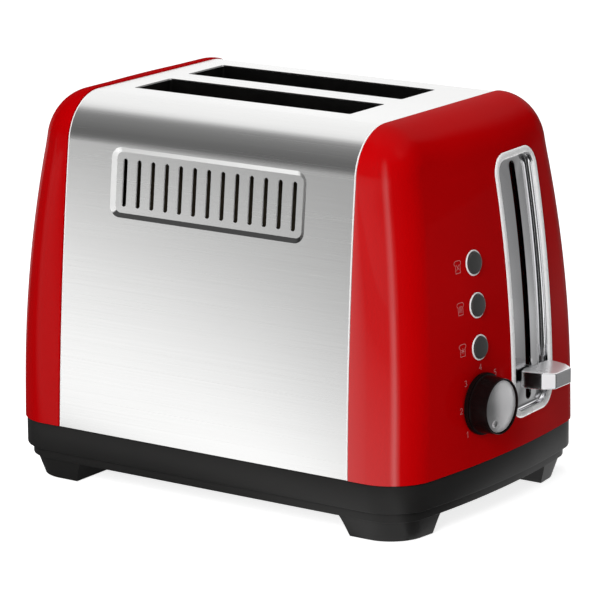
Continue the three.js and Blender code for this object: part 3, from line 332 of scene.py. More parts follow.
def soft_wall(bottom, top, soft):
    """Insets and heights of a wall whose lower and upper edges are rounded over."""
    edge = [(soft, 0), (ROUND_MIDDLE, ROUND_MIDDLE), (0, soft)]
    return ([(inset, bottom + rise) for inset, rise in edge]
            + [(inset, top - rise) for inset, rise in reversed(edge)])


black_plastic = Finish("black_plastic", {"Specular IOR Level": 0.2})
moulding_grain = black_plastic.noise((2600, 2600, 2600), 3, 0.6)
moulding_flow = black_plastic.noise((18, 26, 40), 3)
black_plastic.tinted(moulding_flow, grey(0.010), grey(0.018, 0.04))
black_plastic.roughened(0.38 + 0.16 * moulding_flow + 0.06 * moulding_grain)
black_plastic.bumped(moulding_grain, 0.00003, 0.5)

base_levels = [
    (SKIRT_INSET + TRAY_WALL, FLOOR_UNDERSIDE),
    (SKIRT_INSET + TRAY_WALL, SKIRT_BOTTOM + 0.3),
    (SKIRT_INSET + TRAY_WALL - 0.3, SKIRT_BOTTOM),
    (SKIRT_INSET + 0.4, SKIRT_BOTTOM),
    (SKIRT_INSET + 0.1, SKIRT_BOTTOM + 0.2),
    (SKIRT_INSET, SKIRT_BOTTOM + 0.6),
    (SKIRT_INSET, BAND_BOTTOM),
]
base_levels += [(BAND_INSET + inset, height)
                for inset, height in soft_wall(BAND_BOTTOM, BAND_TOP, BAND_ROUND)]
base_levels += [(BAND_INSET + TRAY_WALL, BAND_TOP), (BAND_INSET + TRAY_WALL, FLOOR_TOP)]
base_rings = [plan_ring(*level) for level in base_levels]
base_rings = [floor_ring(FLOOR_UNDERSIDE)] + base_rings + [floor_ring(FLOOR_TOP)]
base = piece("base_tray_moulding", *skinned(base_rings), black_plastic, "black_plastic")
mouth = cutter(*block((-END_HALF - CLEAR, -MOUTH_HALF, FLOOR_TOP),
                      (MOUTH_BACK, MOUTH_HALF, MOUTH_TOP)))
gland_bore = turned_rings([(GLAND_HOLE_RADIUS, HALF_WIDTH - GLAND_WALL),
                           (GLAND_HOLE_RADIUS, HALF_WIDTH + CLEAR)], 32)
gland_hole = cutter(*skinned([[(GLAND[0] + x, y, GLAND[1] + z) for x, z, y in ring]
                              for ring in gland_bore]))
carved(base, [mouth, gland_hole])
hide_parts("base_tray")

# Feet: four blocks moulded with the tray. Each takes the corner of the plan and tapers to a
# smaller sole, with a well for the screw that holds the end panel and a seat for a pad.
FOOT_LIFT = 0.3
FOOT_ROUND = 0.8
FOOT_STEPS = 12
FOOT_FLARE = 7
FOOT_ROOT = dict(inset=4.1, radius=17.4, inner_x=81, inner_y=50)
FOOT_SOLE = dict(inset=8.8, radius=17, inner_x=87.1, inner_y=52.5)
SCREW_WELL = dict(radius=3.7, place=(110, 66), top=17)
PAD_SEAT = dict(radius=6.3, place=(98, 71), top=2.9)


def foot_ring(share, height, shrink, side_x, side_y):
    """One level of a foot, from its sole (share 0) to its root (share 1)."""
    outlines = []
    flare = FOOT_FLARE * share ** 6
    for foot in (FOOT_SOLE, FOOT_ROOT):
        inset = foot["inset"] + shrink
        inner_x = foot["inner_x"] + shrink - flare
        inner_y = foot["inner_y"] + shrink - flare
        corner = plan_corner(inset, foot["radius"] - shrink)
        outlines.append([(end_at(inner_y, inset), inner_y)] + corner
                        + [(inner_x, HALF_WIDTH - inset), (inner_x, inner_y)])
    return [(side_x * (a + (c - a) * share), side_y * (b + (d - b) * share), height)
            for (a, b), (c, d) in zip(*outlines)]


def well(side_x, side_y, radius, place, top):
    centre = (side_x * place[0], side_y * place[1])
    return cutter(*skinned(turned_rings([(radius, -CLEAR), (radius, top)], 40, centre)))


foot_levels = [(0, FOOT_LIFT, FOOT_ROUND), (0, FOOT_LIFT + ROUND_MIDDLE, ROUND_MIDDLE)]
for i in range(FOOT_STEPS + 1):
    rise = (BAND_BOTTOM - FOOT_LIFT - FOOT_ROUND) * i / FOOT_STEPS
    foot_levels.append((i / FOOT_STEPS, FOOT_LIFT + FOOT_ROUND + rise, 0))
for number, (side_x, side_y) in enumerate([(1, -1), (1, 1), (-1, 1), (-1, -1)], 1):
    rings = [foot_ring(*level, side_x, side_y) for level in foot_levels]
    foot = piece(f"foot_{number}", *skinned(rings), black_plastic, "black_plastic")
    carved(foot, [well(side_x, side_y, **hole) for hole in (SCREW_WELL, PAD_SEAT)])

# Small pieces under and behind the base: rubber pads pressed into the feet, zinc-plated
# screws that hold the end panels, and the rubber gland that the mains lead leaves by.
soft_rubber = Finish("soft_rubber", {"Specular IOR Level": 0.3})
rubber_dust = soft_rubber.noise((900, 900, 900), 4, 0.7)
soft_rubber.tinted(rubber_dust, grey(0.008), grey(0.03, 0.05))
soft_rubber.roughened(0.7 + 0.25 * rubber_dust)
soft_rubber.bumped(rubber_dust, 0.00008, 0.6)

zinc_steel = Finish("zinc_steel", {"Metallic": 1})
zinc_cloud = zinc_steel.noise((700, 700, 700), 3)
zinc_steel.tinted(zinc_cloud, (0.42, 0.43, 0.44, 1), (0.66, 0.67, 0.7, 1))
zinc_steel.roughened(0.24 + 0.22 * zinc_cloud)
zinc_steel.bumped(zinc_cloud, 0.00002, 0.4)


def finished(finish, *names):
    """CAD nodes that are shown as they are, in one finish."""
    for name in names:
        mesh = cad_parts[name].data
        mesh.materials.clear()
        mesh.materials.append(finish.material)


finished(soft_rubber, "cord_gland", *[f"foot_pad_{number}" for number in range(1, 5)])
finished(zinc_steel, *[f"base_screw_{number}" for number in range(1, 5)])

# Crumb tray: a folded pan of galvanised sheet that slides out of the left end over the base's
# floor. Its moulded handle closes the mouth in the band and has a grip cut into its front.
HANDLE_HALF = 58
HANDLE_BOTTOM = 19.6
HANDLE_TOP = 29
HANDLE_ROUND = 0.7
HANDLE_STEPS = 24
GRIP_HALF = 26
GRIP_BACK = -123.6
GRIP_BOTTOM = 21.1
GRIP_TOP = 27.5

chassis_steel = Finish("chassis_steel", {"Metallic": 1})
spangle = chassis_steel.cells((160, 160, 160))
rolled = chassis_steel.noise((60, 900, 900), 3)
chassis_steel.tinted(0.5 * spangle + 0.5 * rolled, (0.4, 0.41, 0.42, 1), (0.62, 0.63, 0.65, 1))
chassis_steel.roughened(0.28 + 0.16 * spangle + 0.12 * rolled)
chassis_steel.bumped(rolled, 0.00001, 0.4)
finished(chassis_steel, "crumb_tray")


def handle_ring(shrink, height):
    half = HANDLE_HALF - shrink
    front = [half * (1 - 2 * i / HANDLE_STEPS) for i in range(HANDLE_STEPS + 1)]
    back = [(MOUTH_BACK, -half, height), (MOUTH_BACK, half, height)]
    return [(-end_at(y, BAND_INSET + shrink), y, height) for y in front] + back


handle_levels = soft_wall(HANDLE_BOTTOM, HANDLE_TOP, HANDLE_ROUND)
handle = piece("crumb_handle_moulding",
               *skinned([handle_ring(*level) for level in handle_levels]),
               black_plastic, "black_plastic", "crumb_drawer")
carved(handle, [cutter(*block((-END_HALF - CLEAR, -GRIP_HALF, GRIP_BOTTOM),
                              (GRIP_BACK, GRIP_HALF, GRIP_TOP)))])
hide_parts("crumb_tray_handle")

# Chassis and toasting chamber: two galvanised plates that stand on the base, the liner under
# the bread slots, three mica cards wound with flat alloy ribbon, and the wire guards. The
# liner and the guards are tinted by heat, and with the mica cards they are painted near black
# beyond that: painted shade for the dark inside of the slots and behind the vents.
finished(chassis_steel, "chassis_plate_right", "chassis_plate_left")

hot_sheet_painted_shade = Finish("hot_sheet_painted_shade", {"Metallic": 1})
scale_cloud = hot_sheet_painted_shade.noise((40, 40, 60), 4, 0.6)
# The near black is painted shade of the slots' dark inside, beyond a tint of heat.
hot_sheet_painted_shade.tinted(scale_cloud, (0.03, 0.03, 0.032, 1), (0.09, 0.085, 0.08, 1))
hot_sheet_painted_shade.roughened(0.45 + 0.2 * scale_cloud)
finished(hot_sheet_painted_shade, "slot_liner")

mica = Finish("mica", {"Specular IOR Level": 0.1})
flakes = mica.cells((260, 260, 340))
layers = mica.noise((90, 90, 220), 5, 0.7)
# The near black is painted shade behind the vents, not the mica's own colour.
mica.tinted(0.55 * flakes + 0.6 * layers, (0.02, 0.016, 0.01, 1), (0.07, 0.057, 0.04, 1))
mica.roughened(0.6 + 0.3 * layers)
mica.bumped(flakes, 0.00004, 0.5)
finished(mica, "heater_card_front", "heater_card_centre", "heater_card_rear")

ribbon_alloy = Finish("ribbon_alloy", {"Metallic": 1})
oxide = ribbon_alloy.noise((140, 400, 400), 4, 0.6)
ribbon_alloy.tinted(oxide, (0.10, 0.09, 0.085, 1), (0.34, 0.31, 0.28, 1))
ribbon_alloy.roughened(0.35 + 0.3 * oxide)
finished(ribbon_alloy, *[f"heating_ribbon_{number}" for number in range(1, 5)])

hot_wire_painted_shade = Finish("hot_wire_painted_shade", {"Metallic": 1})
heat_tint = hot_wire_painted_shade.noise((30, 30, 90), 4, 0.6)
# The near black is painted shade of the slots' dark inside, beyond a tint of heat.
hot_wire_painted_shade.tinted(heat_tint, (0.04, 0.038, 0.036, 1), (0.13, 0.12, 0.11, 1))
hot_wire_painted_shade.roughened(0.35 + 0.25 * heat_tint)
finished(hot_wire_painted_shade, "bread_guard_front_outer", "bread_guard_front_inner",
         "bread_guard_rear_inner", "bread_guard_rear_outer")

# Lift: racks under the bread on a carriage that runs up a rod, its return spring, and the
# electromagnet that holds it down by an iron keeper.
wire_steel = Finish("wire_steel", {"Metallic": 1})
drawn_lines = wire_steel.noise((900, 900, 60), 3)
wire_steel.tinted(drawn_lines, (0.42, 0.42, 0.43, 1), (0.7, 0.7, 0.72, 1))
wire_steel.roughened(0.2 + 0.2 * drawn_lines)

white_plastic = Finish("white_plastic", {"Roughness": 0.5})
white_flow = white_plastic.noise((60, 60, 60), 3)
white_plastic.tinted(white_flow, (0.62, 0.6, 0.55, 1), (0.8, 0.78, 0.73, 1))
white_plastic.roughened(0.4 + 0.2 * white_flow)

soft_iron = Finish("soft_iron", {"Metallic": 1})
iron_cloud = soft_iron.noise((300, 300, 700), 4)
soft_iron.tinted(iron_cloud, (0.16, 0.165, 0.17, 1), (0.36, 0.365, 0.38, 1))
soft_iron.roughened(0.35 + 0.25 * iron_cloud)

coil_copper = Finish("coil_copper", {"Metallic": 0.8})
windings = coil_copper.noise((30, 30, 5200), 1)
coil_copper.tinted(windings, (0.22, 0.07, 0.03, 1), (0.6, 0.26, 0.12, 1))
coil_copper.roughened(0.3 + 0.25 * windings)
coil_copper.bumped(windings, 0.0001, 0.8)

finished(wire_steel, "bread_rack_front", "bread_rack_rear", "lift_spring")
finished(chassis_steel, "carriage_plate", "lever_arm")
finished(white_plastic, "slider_bush")
finished(zinc_steel, "guide_rod")
finished(soft_iron, "latch_keeper", "magnet_core")
finished(coil_copper, "magnet_coil")

# Steel wrap: one bent sheet over the front, the top and the rear, brushed along its length.
# Two bread slots are cut in the top, and a shallow pressed vent with slots in each side.
BODY_BOTTOM = 32.3
BODY_TOP = 208.2
SIDE_LEAN = 0.0304
SIDE_RADIUS = 1812
SHOULDER_RADIUS = 26.6
SEAM_HALF = 90
SEAM_LEAN = 0.0102
SEAT_GAP = 0.3
WRAP_INSET = 0.6
WRAP_SHEET = 0.8
WRAP_ROUND = 0.2
WRAP_EDGE = 0.75
ROUND_STEPS = 5
ARCH_HEIGHT = BODY_TOP - BODY_BOTTOM
SHOULDER_ANGLE = atan(SIDE_LEAN + (ARCH_HEIGHT - SHOULDER_RADIUS) / SIDE_RADIUS)
SHOULDER_RISE = ARCH_HEIGHT - SHOULDER_RADIUS * (1 - sin(SHOULDER_ANGLE))
SIDE_STEPS = 24
SHOULDER_STEPS = 24
FLAT_STEPS = 8
SLOT_LENGTH = 136.5
SLOT_WIDTH = 31.8
SLOT_PITCH = 47.4
SLOT_MIDDLE_X = -6.6
SLOT_CORNER = 1
SLOT_CUT = 20
VENT_LENGTH = 122
VENT_HEIGHT = 36.8
VENT_DROP = 42
VENT_DEPTH = 1.4
VENT_BEVEL = 2.6
VENT_SPREAD = 0.4
VENT_CORNER = 6
VENT_FLOOR_CORNER = 2
VENT_SLOTS = 13
VENT_PITCH = 8.85
VENT_SLOT_LENGTH = 25
VENT_SLOT_WIDTH = 2.8
VENT_SLOT_CUT = 6
BEVEL_STAYS_SHARP = 22
SAME_WAY = 0.99
ROUND_END = 0.499


def side_at(rise):
    return HALF_WIDTH - SIDE_LEAN * rise - rise * rise / (2 * SIDE_RADIUS)


FLAT_HALF = side_at(SHOULDER_RISE) - SHOULDER_RADIUS * cos(SHOULDER_ANGLE)
stations = [("side", i / SIDE_STEPS) for i in range(SIDE_STEPS)]
stations += [("shoulder", i / SHOULDER_STEPS) for i in range(SHOULDER_STEPS)]
stations += [("flat", i / FLAT_STEPS) for i in range(FLAT_STEPS + 1)]


def arch_point(station, inset):
    """A point of the casing's section on its +Y side, moved in by an inset."""
    stretch, share = station
    if stretch == "flat":
        return FLAT_HALF * (1 - share), BODY_TOP - inset
    if stretch == "shoulder":
        angle = SHOULDER_ANGLE + (pi / 2 - SHOULDER_ANGLE) * share
        radius = SHOULDER_RADIUS - inset
        return (FLAT_HALF + radius * cos(angle),
                BODY_TOP - SHOULDER_RADIUS + radius * sin(angle))
    rise = share * SHOULDER_RISE
    angle = share * SHOULDER_ANGLE
    return (side_at(rise) - inset * cos(angle),
            BODY_BOTTOM + rise - inset * sin(angle))


def arch_row(point_of):
    """A whole row over both sides from a function of the +Y side's stations."""
    far = [point_of(station) for station in stations]
    near = [(x, -y, z) for x, y, z in far[:-1]]
    return near + far[::-1]


def seam_at(z):
    return SEAM_HALF + SEAM_LEAN * (BODY_TOP - z)


def sheet_skin(outer, inner, closed_end=True):
    """A sheet between two skins of open rows, closed along its edges."""
    count = len(outer[0])
    points = [point for row in outer + inner for point in row]
    rows = len(outer)
    inside = rows * count
    faces = []
    for k in range(rows - 1):
        for i in range(count - 1):
            a, b = k * count + i, (k + 1) * count + i
            faces.append((a, b, b + 1, a + 1))
            faces.append((inside + a, inside + a + 1, inside + b + 1, inside + b))
        for edge in (0, count - 1):
            a, b = k * count + edge, (k + 1) * count + edge
            faces.append((a, b, inside + b, inside + a))
    ends = [0, rows - 1] if closed_end else [0]
    for k in ends:
        for i in range(count - 1):
            a = k * count + i
            faces.append((a, a + 1, inside + a + 1, inside + a))
    return points, faces


def span(middle, width):
    return middle - width / 2, middle + width / 2


def rounded(u_span, v_span, radius, steps=8, splits=1):
    """A rectangle with rounded corners; its long sides may be split for a curved face."""
    (u0, u1), (v0, v1) = u_span, v_span
    corners = [(u1 - radius, v0 + radius, -90), (u1 - radius, v1 - radius, 0),
               (u0 + radius, v1 - radius, 90), (u0 + radius, v0 + radius, 180)]
    outline = []
    for number, (u, v, start) in enumerate(corners):
        arc = [(u + radius * cos(radians(start + 90 * i / steps)),
                v + radius * sin(radians(start + 90 * i / steps)))
               for i in range(steps + 1)]
        if outline and number % 2 == 1:
            last = outline[-1]
            outline += [(last[0] + (arc[0][0] - last[0]) * i / splits,
                         last[1] + (arc[0][1] - last[1]) * i / splits)
                        for i in range(1, splits)]
        outline += arc
    return outline


def rolled_edge(radius):
    """Drops and setbacks over a quarter round, from a skin's end to its full height."""
    angles = [pi / 2 * i / ROUND_STEPS for i in range(ROUND_STEPS + 1)]
    return [(radius * (1 - sin(angle)), radius * (1 - cos(angle))) for angle in angles]


def seam_row(inset, offset, side=1):
    """A row of a skin beside the seam with an end panel, moved along it by an offset."""
    return arch_row(lambda station: (side * (seam_at(arch_point(station, inset)[1]) + offset),
                                     *arch_point(station, inset)))


def wrap_rows(inset, rounding):
    """The rows of one skin of the wrap, whose two ends are rounded over."""
    edge = rolled_edge(WRAP_ROUND)
    return [seam_row(inset + drop * rounding, -SEAT_GAP - back, side)
            for side, end in ((-1, edge), (1, edge[::-1])) for drop, back in end]


def bread_slot(side):
    outline = rounded(span(SLOT_MIDDLE_X, SLOT_LENGTH),
                      span(side * SLOT_PITCH / 2, SLOT_WIDTH), SLOT_CORNER, 4)
    return cutter(*skinned([[(x, y, z) for x, y in outline]
                            for z in (BODY_TOP - SLOT_CUT, BODY_TOP + CLEAR)]))


def vent_cutter(side, layers):
    """Outlines in the vent's own plane, at depths below the steel, as a block."""
    rise = ARCH_HEIGHT - VENT_DROP
    slope = atan(SIDE_LEAN + rise / SIDE_RADIUS)
    across = Vector((-side, 0, 0))
    up = Vector((0, -side * sin(slope), cos(slope)))
    out = Vector((0, side * cos(slope), sin(slope)))
    seat = Vector((0, side * side_at(rise), BODY_BOTTOM + rise)) - WRAP_INSET * out
    return cutter(*skinned([[tuple(seat + across * u + up * v + out * height)
                             for u, v in outline] for outline, height in layers]))


def vent_outline(inset):
    half_length, half_height = VENT_LENGTH / 2 - inset, VENT_HEIGHT / 2 - inset
    radius = max(VENT_CORNER - inset, VENT_FLOOR_CORNER)
    return rounded((-half_length, half_length), (-half_height, half_height), radius)


# A vent's bevel that faces the controls is painted white as a highlight, the one that faces
# away is painted in the steel's darkest tone as shade, and the lower one, which faces up, is
# painted darker still as shade. The sheet's cut ends are painted pale as a highlight and
# hardly mirror.
FACES_UP = (0.36, 0.46)
FACES_ALONG = (0.15, 0.4)
BELOW_SHOULDER = (0.155, 0.16)
CUT_END_BLEND = 0.0001
steel = Finish("brushed_steel", {"Metallic": 1, "Anisotropic": 0.3})
steel_height = steel.axis(steel.spot(), "Z")
end_reach = abs(steel.axis(steel.spot(), "X") - CASING_MIDDLE_X * METRES)
seam_reach = (SEAM_HALF - SEAT_GAP + SEAM_LEAN * BODY_TOP - WRAP_EDGE) * METRES
highlight_painted_cut_end = steel.eased(end_reach + SEAM_LEAN * steel_height - seam_reach, 0, CUT_END_BLEND)
shade_painted_lower_bevel = (steel.eased(steel.facing("Z"), *FACES_UP)
               * (1 - steel.eased(steel_height, *BELOW_SHOULDER)))
highlight_painted_bevel = steel.eased(steel.facing("X"), *FACES_ALONG) * (1 - shade_painted_lower_bevel)
shade_painted_bevel = steel.eased(-1 * steel.facing("X"), *FACES_ALONG)
steel.dress("Metallic", (1 - 0.95 * highlight_painted_cut_end) * (1 - 0.7 * highlight_painted_bevel))
brushing = steel.noise((9, 5200, 5200), 3, 0.6)
long_brushing = steel.noise((2.5, 1500, 1500), 2)
steel_cloud = steel.noise((5, 9, 9), 2)
# Painted light: pale highlights on the controls-side bevel and the cut ends, dark shade on the
# bevel that faces away and on the lower bevel.
tone_with_painted_light = ((0.6 * brushing + 0.4 * steel_cloud - 1.6 * shade_painted_bevel) * (1 - highlight_painted_cut_end)
              + 1.5 * highlight_painted_cut_end + highlight_painted_bevel)
steel_tone_with_painted_light = steel.mixed(tone_with_painted_light, (0.66, 0.66, 0.655, 1), (0.86, 0.86, 0.855, 1))
steel.tinted(shade_painted_lower_bevel, steel_tone_with_painted_light, grey(0.26))
steel.roughened(0.16 + 0.1 * brushing + 0.08 * long_brushing)
steel.bumped(brushing + 0.5 * long_brushing, 0.000012, 0.5)

wrap = piece("steel_wrap_sheet", *sheet_skin(wrap_rows(WRAP_INSET, 1),
                                             wrap_rows(WRAP_INSET + WRAP_SHEET, 0)),
             steel, "brushed_steel")
pressing = [(vent_outline(VENT_BEVEL - VENT_SPREAD), -VENT_DEPTH - WRAP_SHEET),
            (vent_outline(-VENT_SPREAD), -VENT_SPREAD)]
carved(wrap, [vent_cutter(side, pressing) for side in (-1, 1)], "UNION")
hollow = [(vent_outline(VENT_BEVEL), -VENT_DEPTH), (vent_outline(0), 0),
          (vent_outline(0), CLEAR)]
openings = [bread_slot(side) for side in (-1, 1)]
for side in (-1, 1):
    openings.append(vent_cutter(side, hollow))
    for number in range(VENT_SLOTS):
        middle = (number - (VENT_SLOTS - 1) / 2) * VENT_PITCH
        slit = rounded(span(middle, VENT_SLOT_WIDTH), span(0, VENT_SLOT_LENGTH),
                       VENT_SLOT_WIDTH * ROUND_END)
        openings.append(vent_cutter(side, [(slit, -VENT_DEPTH - VENT_SLOT_CUT),
                                           (slit, CLEAR)]))
carved(wrap, openings)


def trued(made, normal_at):
    """Cut pieces shade as their curved skin does wherever a face lies on that skin."""
    mesh = made.data
    normals = [Vector((0, 0, 0))] * len(mesh.loops)
    for face in mesh.polygons:
        for loop in face.loop_indices:
            place = mesh.vertices[mesh.loops[loop].vertex_index].co / METRES
            along = normal_at(place)
            if along is not None and along.dot(face.normal) > SAME_WAY:
                normals[loop] = along
    mesh.normals_split_custom_set([tuple(normal) for normal in normals])


def arch_normal(place):
    """The steel's outward direction at a place on its outer skin."""
    side = copysign(1, place.y)
    rise = place.z - BODY_BOTTOM
    if rise <= SHOULDER_RISE:
        return Vector((0, side, SIDE_LEAN + rise / SIDE_RADIUS)).normalized()
    past_flat = max(0, abs(place.y) - FLAT_HALF)
    return Vector((0, side * past_flat, place.z - BODY_TOP + SHOULDER_RADIUS)).normalized()


shaded(wrap, BEVEL_STAYS_SHARP)
trued(wrap, arch_normal)
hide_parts("steel_wrap")

# End panels: glossy red mouldings that close the casing. A tongue runs under the wrap, the
# edge at the seam is rounded, and a broad fillet leads into the bowed end face. The right one
# is opened for the lever's bezel, the dial's shaft and the three buttons.
END_LEAN_START = 52.3
END_LEAN_RADIUS = 688
SEAM_LAND = 1.5
PANEL_WALL = 3.2
TONGUE_INSET = 1.7
TONGUE_LENGTH = 6
EDGE_ROUND = 0.8
CONTROL_Y = -24.9
LEVER_Y = 24.9
BUTTON_HEIGHTS = {"defrost": 92.9, "reheat": 114.5, "cancel": 136.1}
DIAL_HEIGHT_Z = 63.9
SHAFT_HOLE_RADIUS = 3.7
BUTTON_HOLE_RADIUS = 6.5
HOLE_DEPTH = 8
BEZEL_WIDTH = 43
BEZEL_BOTTOM = 47.4
BEZEL_TOP = 184.9
BEZEL_CORNER = 11
BEZEL_HOLE_INSET = 2.0
CUT_FROM_X = 90
ON_FACE = 0.03


def face_at(y, z):
    lean = max(0, z - END_LEAN_START)
    return end_at(y) - lean * lean / (2 * END_LEAN_RADIUS)


def face_out(y, z):
    """The direction out of the right end face at a place on it."""
    lean = max(0, z - END_LEAN_START)
    return Vector((1, y / END_BOW_RADIUS, lean / END_LEAN_RADIUS)).normalized()


def face_frame(y, z):
    """A place on the right end face whose local Z points out of it."""
    place = Vector((face_at(y, z) + CASING_MIDDLE_X, y, z)) * METRES
    turn = Vector((0, 0, 1)).rotation_difference(face_out(y, z)).to_matrix().to_4x4()
    return Matrix.Translation(place) @ turn @ Matrix.Rotation(pi / 2, 4, "Z")


def panel_rows(depth):
    """The rows of one skin of the panel over its fillet and end face, to a spine."""
    def fillet(station):
        y, z = arch_point(station, 0)
        return min(END_FILLET, face_at(y, z) - seam_at(z) - SEAM_LAND) - depth

    rows = []
    for i in range(FILLET_STEPS + 1):
        angle = pi / 2 * i / FILLET_STEPS

        def on_fillet(station):
            radius = fillet(station)
            y, z = arch_point(station, depth + radius * (1 - cos(angle)))
            return face_at(y, z) - depth - radius * (1 - sin(angle)), y, z
        rows.append(arch_row(on_fillet))
    rim = rows[-1]
    for i in range(1, FACE_STEPS + 1):
        share = i / FACE_STEPS
        row = []
        for _, y, z in rim:
            inner_y = y * (1 - share)
            inner_z = z + (min(z, BODY_TOP - SHOULDER_RADIUS) - z) * share
            row.append((face_at(inner_y, inner_z) - depth, inner_y, inner_z))
        rows.append(row)
    return rows


def panel_skin():
    edge = rolled_edge(EDGE_ROUND)
    outer = [seam_row(TONGUE_INSET, -TONGUE_LENGTH), seam_row(TONGUE_INSET, 0)]
    outer += [seam_row(inset, offset) for inset, offset in edge]
    inner = [seam_row(PANEL_WALL, -TONGUE_LENGTH), seam_row(PANEL_WALL, 0)]
    inner += [seam_row(PANEL_WALL, offset) for _, offset in edge]
    return sheet_skin(outer + panel_rows(0), inner + panel_rows(PANEL_WALL), False)


def control_hole(y, z, radius):
    """A round hole square to the end face, drawn about its own axis and then set there."""
    made = cutter(*skinned(turned_rings([(radius, -HOLE_DEPTH), (radius, CLEAR)], 48)))
    made.data.transform(Matrix.Translation((-CASING_MIDDLE_X * METRES, 0, 0)))
    made.data.transform(face_frame(y, z))
    return made


def bezel_outline(inset, steps=12, splits=20):
    return rounded((LEVER_Y - BEZEL_WIDTH / 2 + inset, LEVER_Y + BEZEL_WIDTH / 2 - inset),
                   (BEZEL_BOTTOM + inset, BEZEL_TOP - inset),
                   max(BEZEL_CORNER - inset, BEZEL_CORNER / 4), steps, splits)


def end_cutter(outline):
    """A prism along X that takes an outline out of the right end."""
    return cutter(*skinned([[(x, y, z) for y, z in outline]
                            for x in (CUT_FROM_X, END_HALF + CLEAR)]))


# The red mirrors most on its fillets. Its coat fades towards the top, on the flat of an end
# face and on the whole left panel. The left panel's red is even and darker: painted shade, as
# less light falls on that end.
LEFT_TO_RIGHT = (-0.05, 0.05)
TOP_EDGE = (0.178, 0.2)
FACES_ENDWISE = (0.62, 0.84)
red = Finish("red_gloss", {"Coat Roughness": 0.04, "Specular IOR Level": 0})
red_depth = red.noise((14, 14, 14), 3)
orange_peel = red.noise((420, 420, 420), 2)
shade_painted_left_end = 1 - red.eased(red.axis(red.spot(), "X"), *LEFT_TO_RIGHT)
top_edge = red.eased(red.axis(red.spot(), "Z"), *TOP_EDGE)
end_flat = red.eased(abs(red.facing("X")), *FACES_ENDWISE)
# The left panel gets the darker red, even all over: painted shade.
red.tinted(red_depth * (1 - shade_painted_left_end), (0.42, 0.0, 0.001, 1), (0.54, 0.001, 0.002, 1))
red.roughened(0.3 + 0.1 * red_depth)
red.bumped(orange_peel, 0.00001, 0.15)
red.dress("Coat Weight", (1 - 0.92 * top_edge) * (1 - 0.85 * shade_painted_left_end) * (1 - 0.93 * end_flat))

right_panel = piece("right_end_moulding", *panel_skin(), red, "red_gloss")
holes = [end_cutter(bezel_outline(BEZEL_HOLE_INSET)),
         control_hole(CONTROL_Y, DIAL_HEIGHT_Z, SHAFT_HOLE_RADIUS)]
holes += [control_hole(CONTROL_Y, z, BUTTON_HOLE_RADIUS) for z in BUTTON_HEIGHTS.values()]
carved(right_panel, holes)


def face_normal(place):
    """The end face's outward direction, or nothing off the face."""
    if abs(place.x - CASING_MIDDLE_X - face_at(place.y, place.z)) > ON_FACE:
        return None
    return face_out(place.y, place.z)


trued(right_panel, face_normal)
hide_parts("right_end_panel")

left_points, left_faces = panel_skin()
left_panel = piece("left_end_moulding", [(-x, y, z) for x, y, z in left_points], left_faces,
                   red, "red_gloss")
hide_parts("left_end_panel")

# Electrics behind the controls: the circuit board with its switches and the browning control,
# the terminal block for the lead, and the mains switch that the carriage works.
TRACK_WIDTH = 0.08
board_green = Finish("board_green", {"Roughness": 0.4})
mask = board_green.noise((220, 220, 220), 4)
tracks = board_green.cells((300, 220, 220), "DISTANCE_TO_EDGE") < TRACK_WIDTH
board_green.tinted(tracks, (0.012, 0.09, 0.03, 1), (0.06, 0.24, 0.09, 1))
board_green.roughened(0.25 + 0.3 * mask)

brass = Finish("brass", {"Metallic": 1})
brass_turning = brass.noise((400, 400, 2400), 2)
brass.tinted(brass_turning, (0.42, 0.28, 0.1, 1), (0.72, 0.54, 0.25, 1))
brass.roughened(0.2 + 0.2 * brass_turning)

finished(board_green, "circuit_board")
finished(white_plastic, "switch_defrost", "switch_reheat", "switch_cancel", "terminal_block")
finished(soft_iron, "browning_control")
finished(brass, "dial_shaft")
finished(black_plastic, "mains_switch")

# Lever bezel: a chromed frame let into the end face. Its rim stands on the panel, and the
# floor of its tub has the slot that the lever's arm travels in.
ARM_Y = 26.4
LEVER_SLOT_WIDTH = 5.8
LEVER_SLOT_MARGIN = 6.5
TUB_INSET = 2.2
TUB_BACK = -4.3
TUB_WALL = 3.4
TUB_FLOOR = -3.1
TUB_FILLET = 2.1
TUB_STEPS = 10
TUB_MIDDLE_INSET = 4.4
RIM_SEAT = -0.4
RIM_GAP = 0.05
RIM_FOOT = 0.3
RIM_TOP = 1.2
RIM_MIDDLE = 1.75
RIM_BACK = 2.3
RIM_CROWN = 1.05
RIM_LEAN = radians(68)
RIM_SWEEP = radians(132)
RIM_STEPS = 16

# The floor of the tub, which looks out of the end, is painted darker than the tub's walls:
# painted shade in the recess.
SHADED_TUB_FLOOR_FACES = (0.8, 0.95)
chrome = Finish("chrome", {"Metallic": 1})
smudges = chrome.noise((60, 60, 60), 4, 0.7)
chrome.tinted(chrome.eased(chrome.facing("X"), *SHADED_TUB_FLOOR_FACES),
              chrome.mixed(smudges, (0.78, 0.78, 0.79, 1), (0.88, 0.88, 0.9, 1)),
              (0.5, 0.5, 0.51, 1))
chrome.roughened(0.04 + 0.08 * smudges)

rim_levels = [(0, RIM_FOOT), (0, RIM_FOOT + 0.2)]
for i in range(RIM_STEPS + 1):
    lean = RIM_SWEEP * i / RIM_STEPS - RIM_LEAN
    rim_levels.append((RIM_MIDDLE * (1 + sin(lean) / sin(RIM_LEAN)),
                       RIM_TOP - RIM_CROWN * (1 - cos(lean))))
rim_levels += [(TUB_WALL, RIM_SEAT), (RIM_BACK, RIM_SEAT), (RIM_BACK, RIM_FOOT), (0, RIM_FOOT)]
tub_levels = [(TUB_INSET, TUB_BACK), (TUB_INSET, RIM_SEAT - RIM_GAP),
              (TUB_WALL, RIM_SEAT - RIM_GAP)]
for i in range(TUB_STEPS + 1):
    angle = pi / 2 * i / TUB_STEPS
    tub_levels.append((TUB_WALL + TUB_FILLET * (1 - cos(angle)),
                       TUB_FLOOR + TUB_FILLET * (1 - sin(angle))))


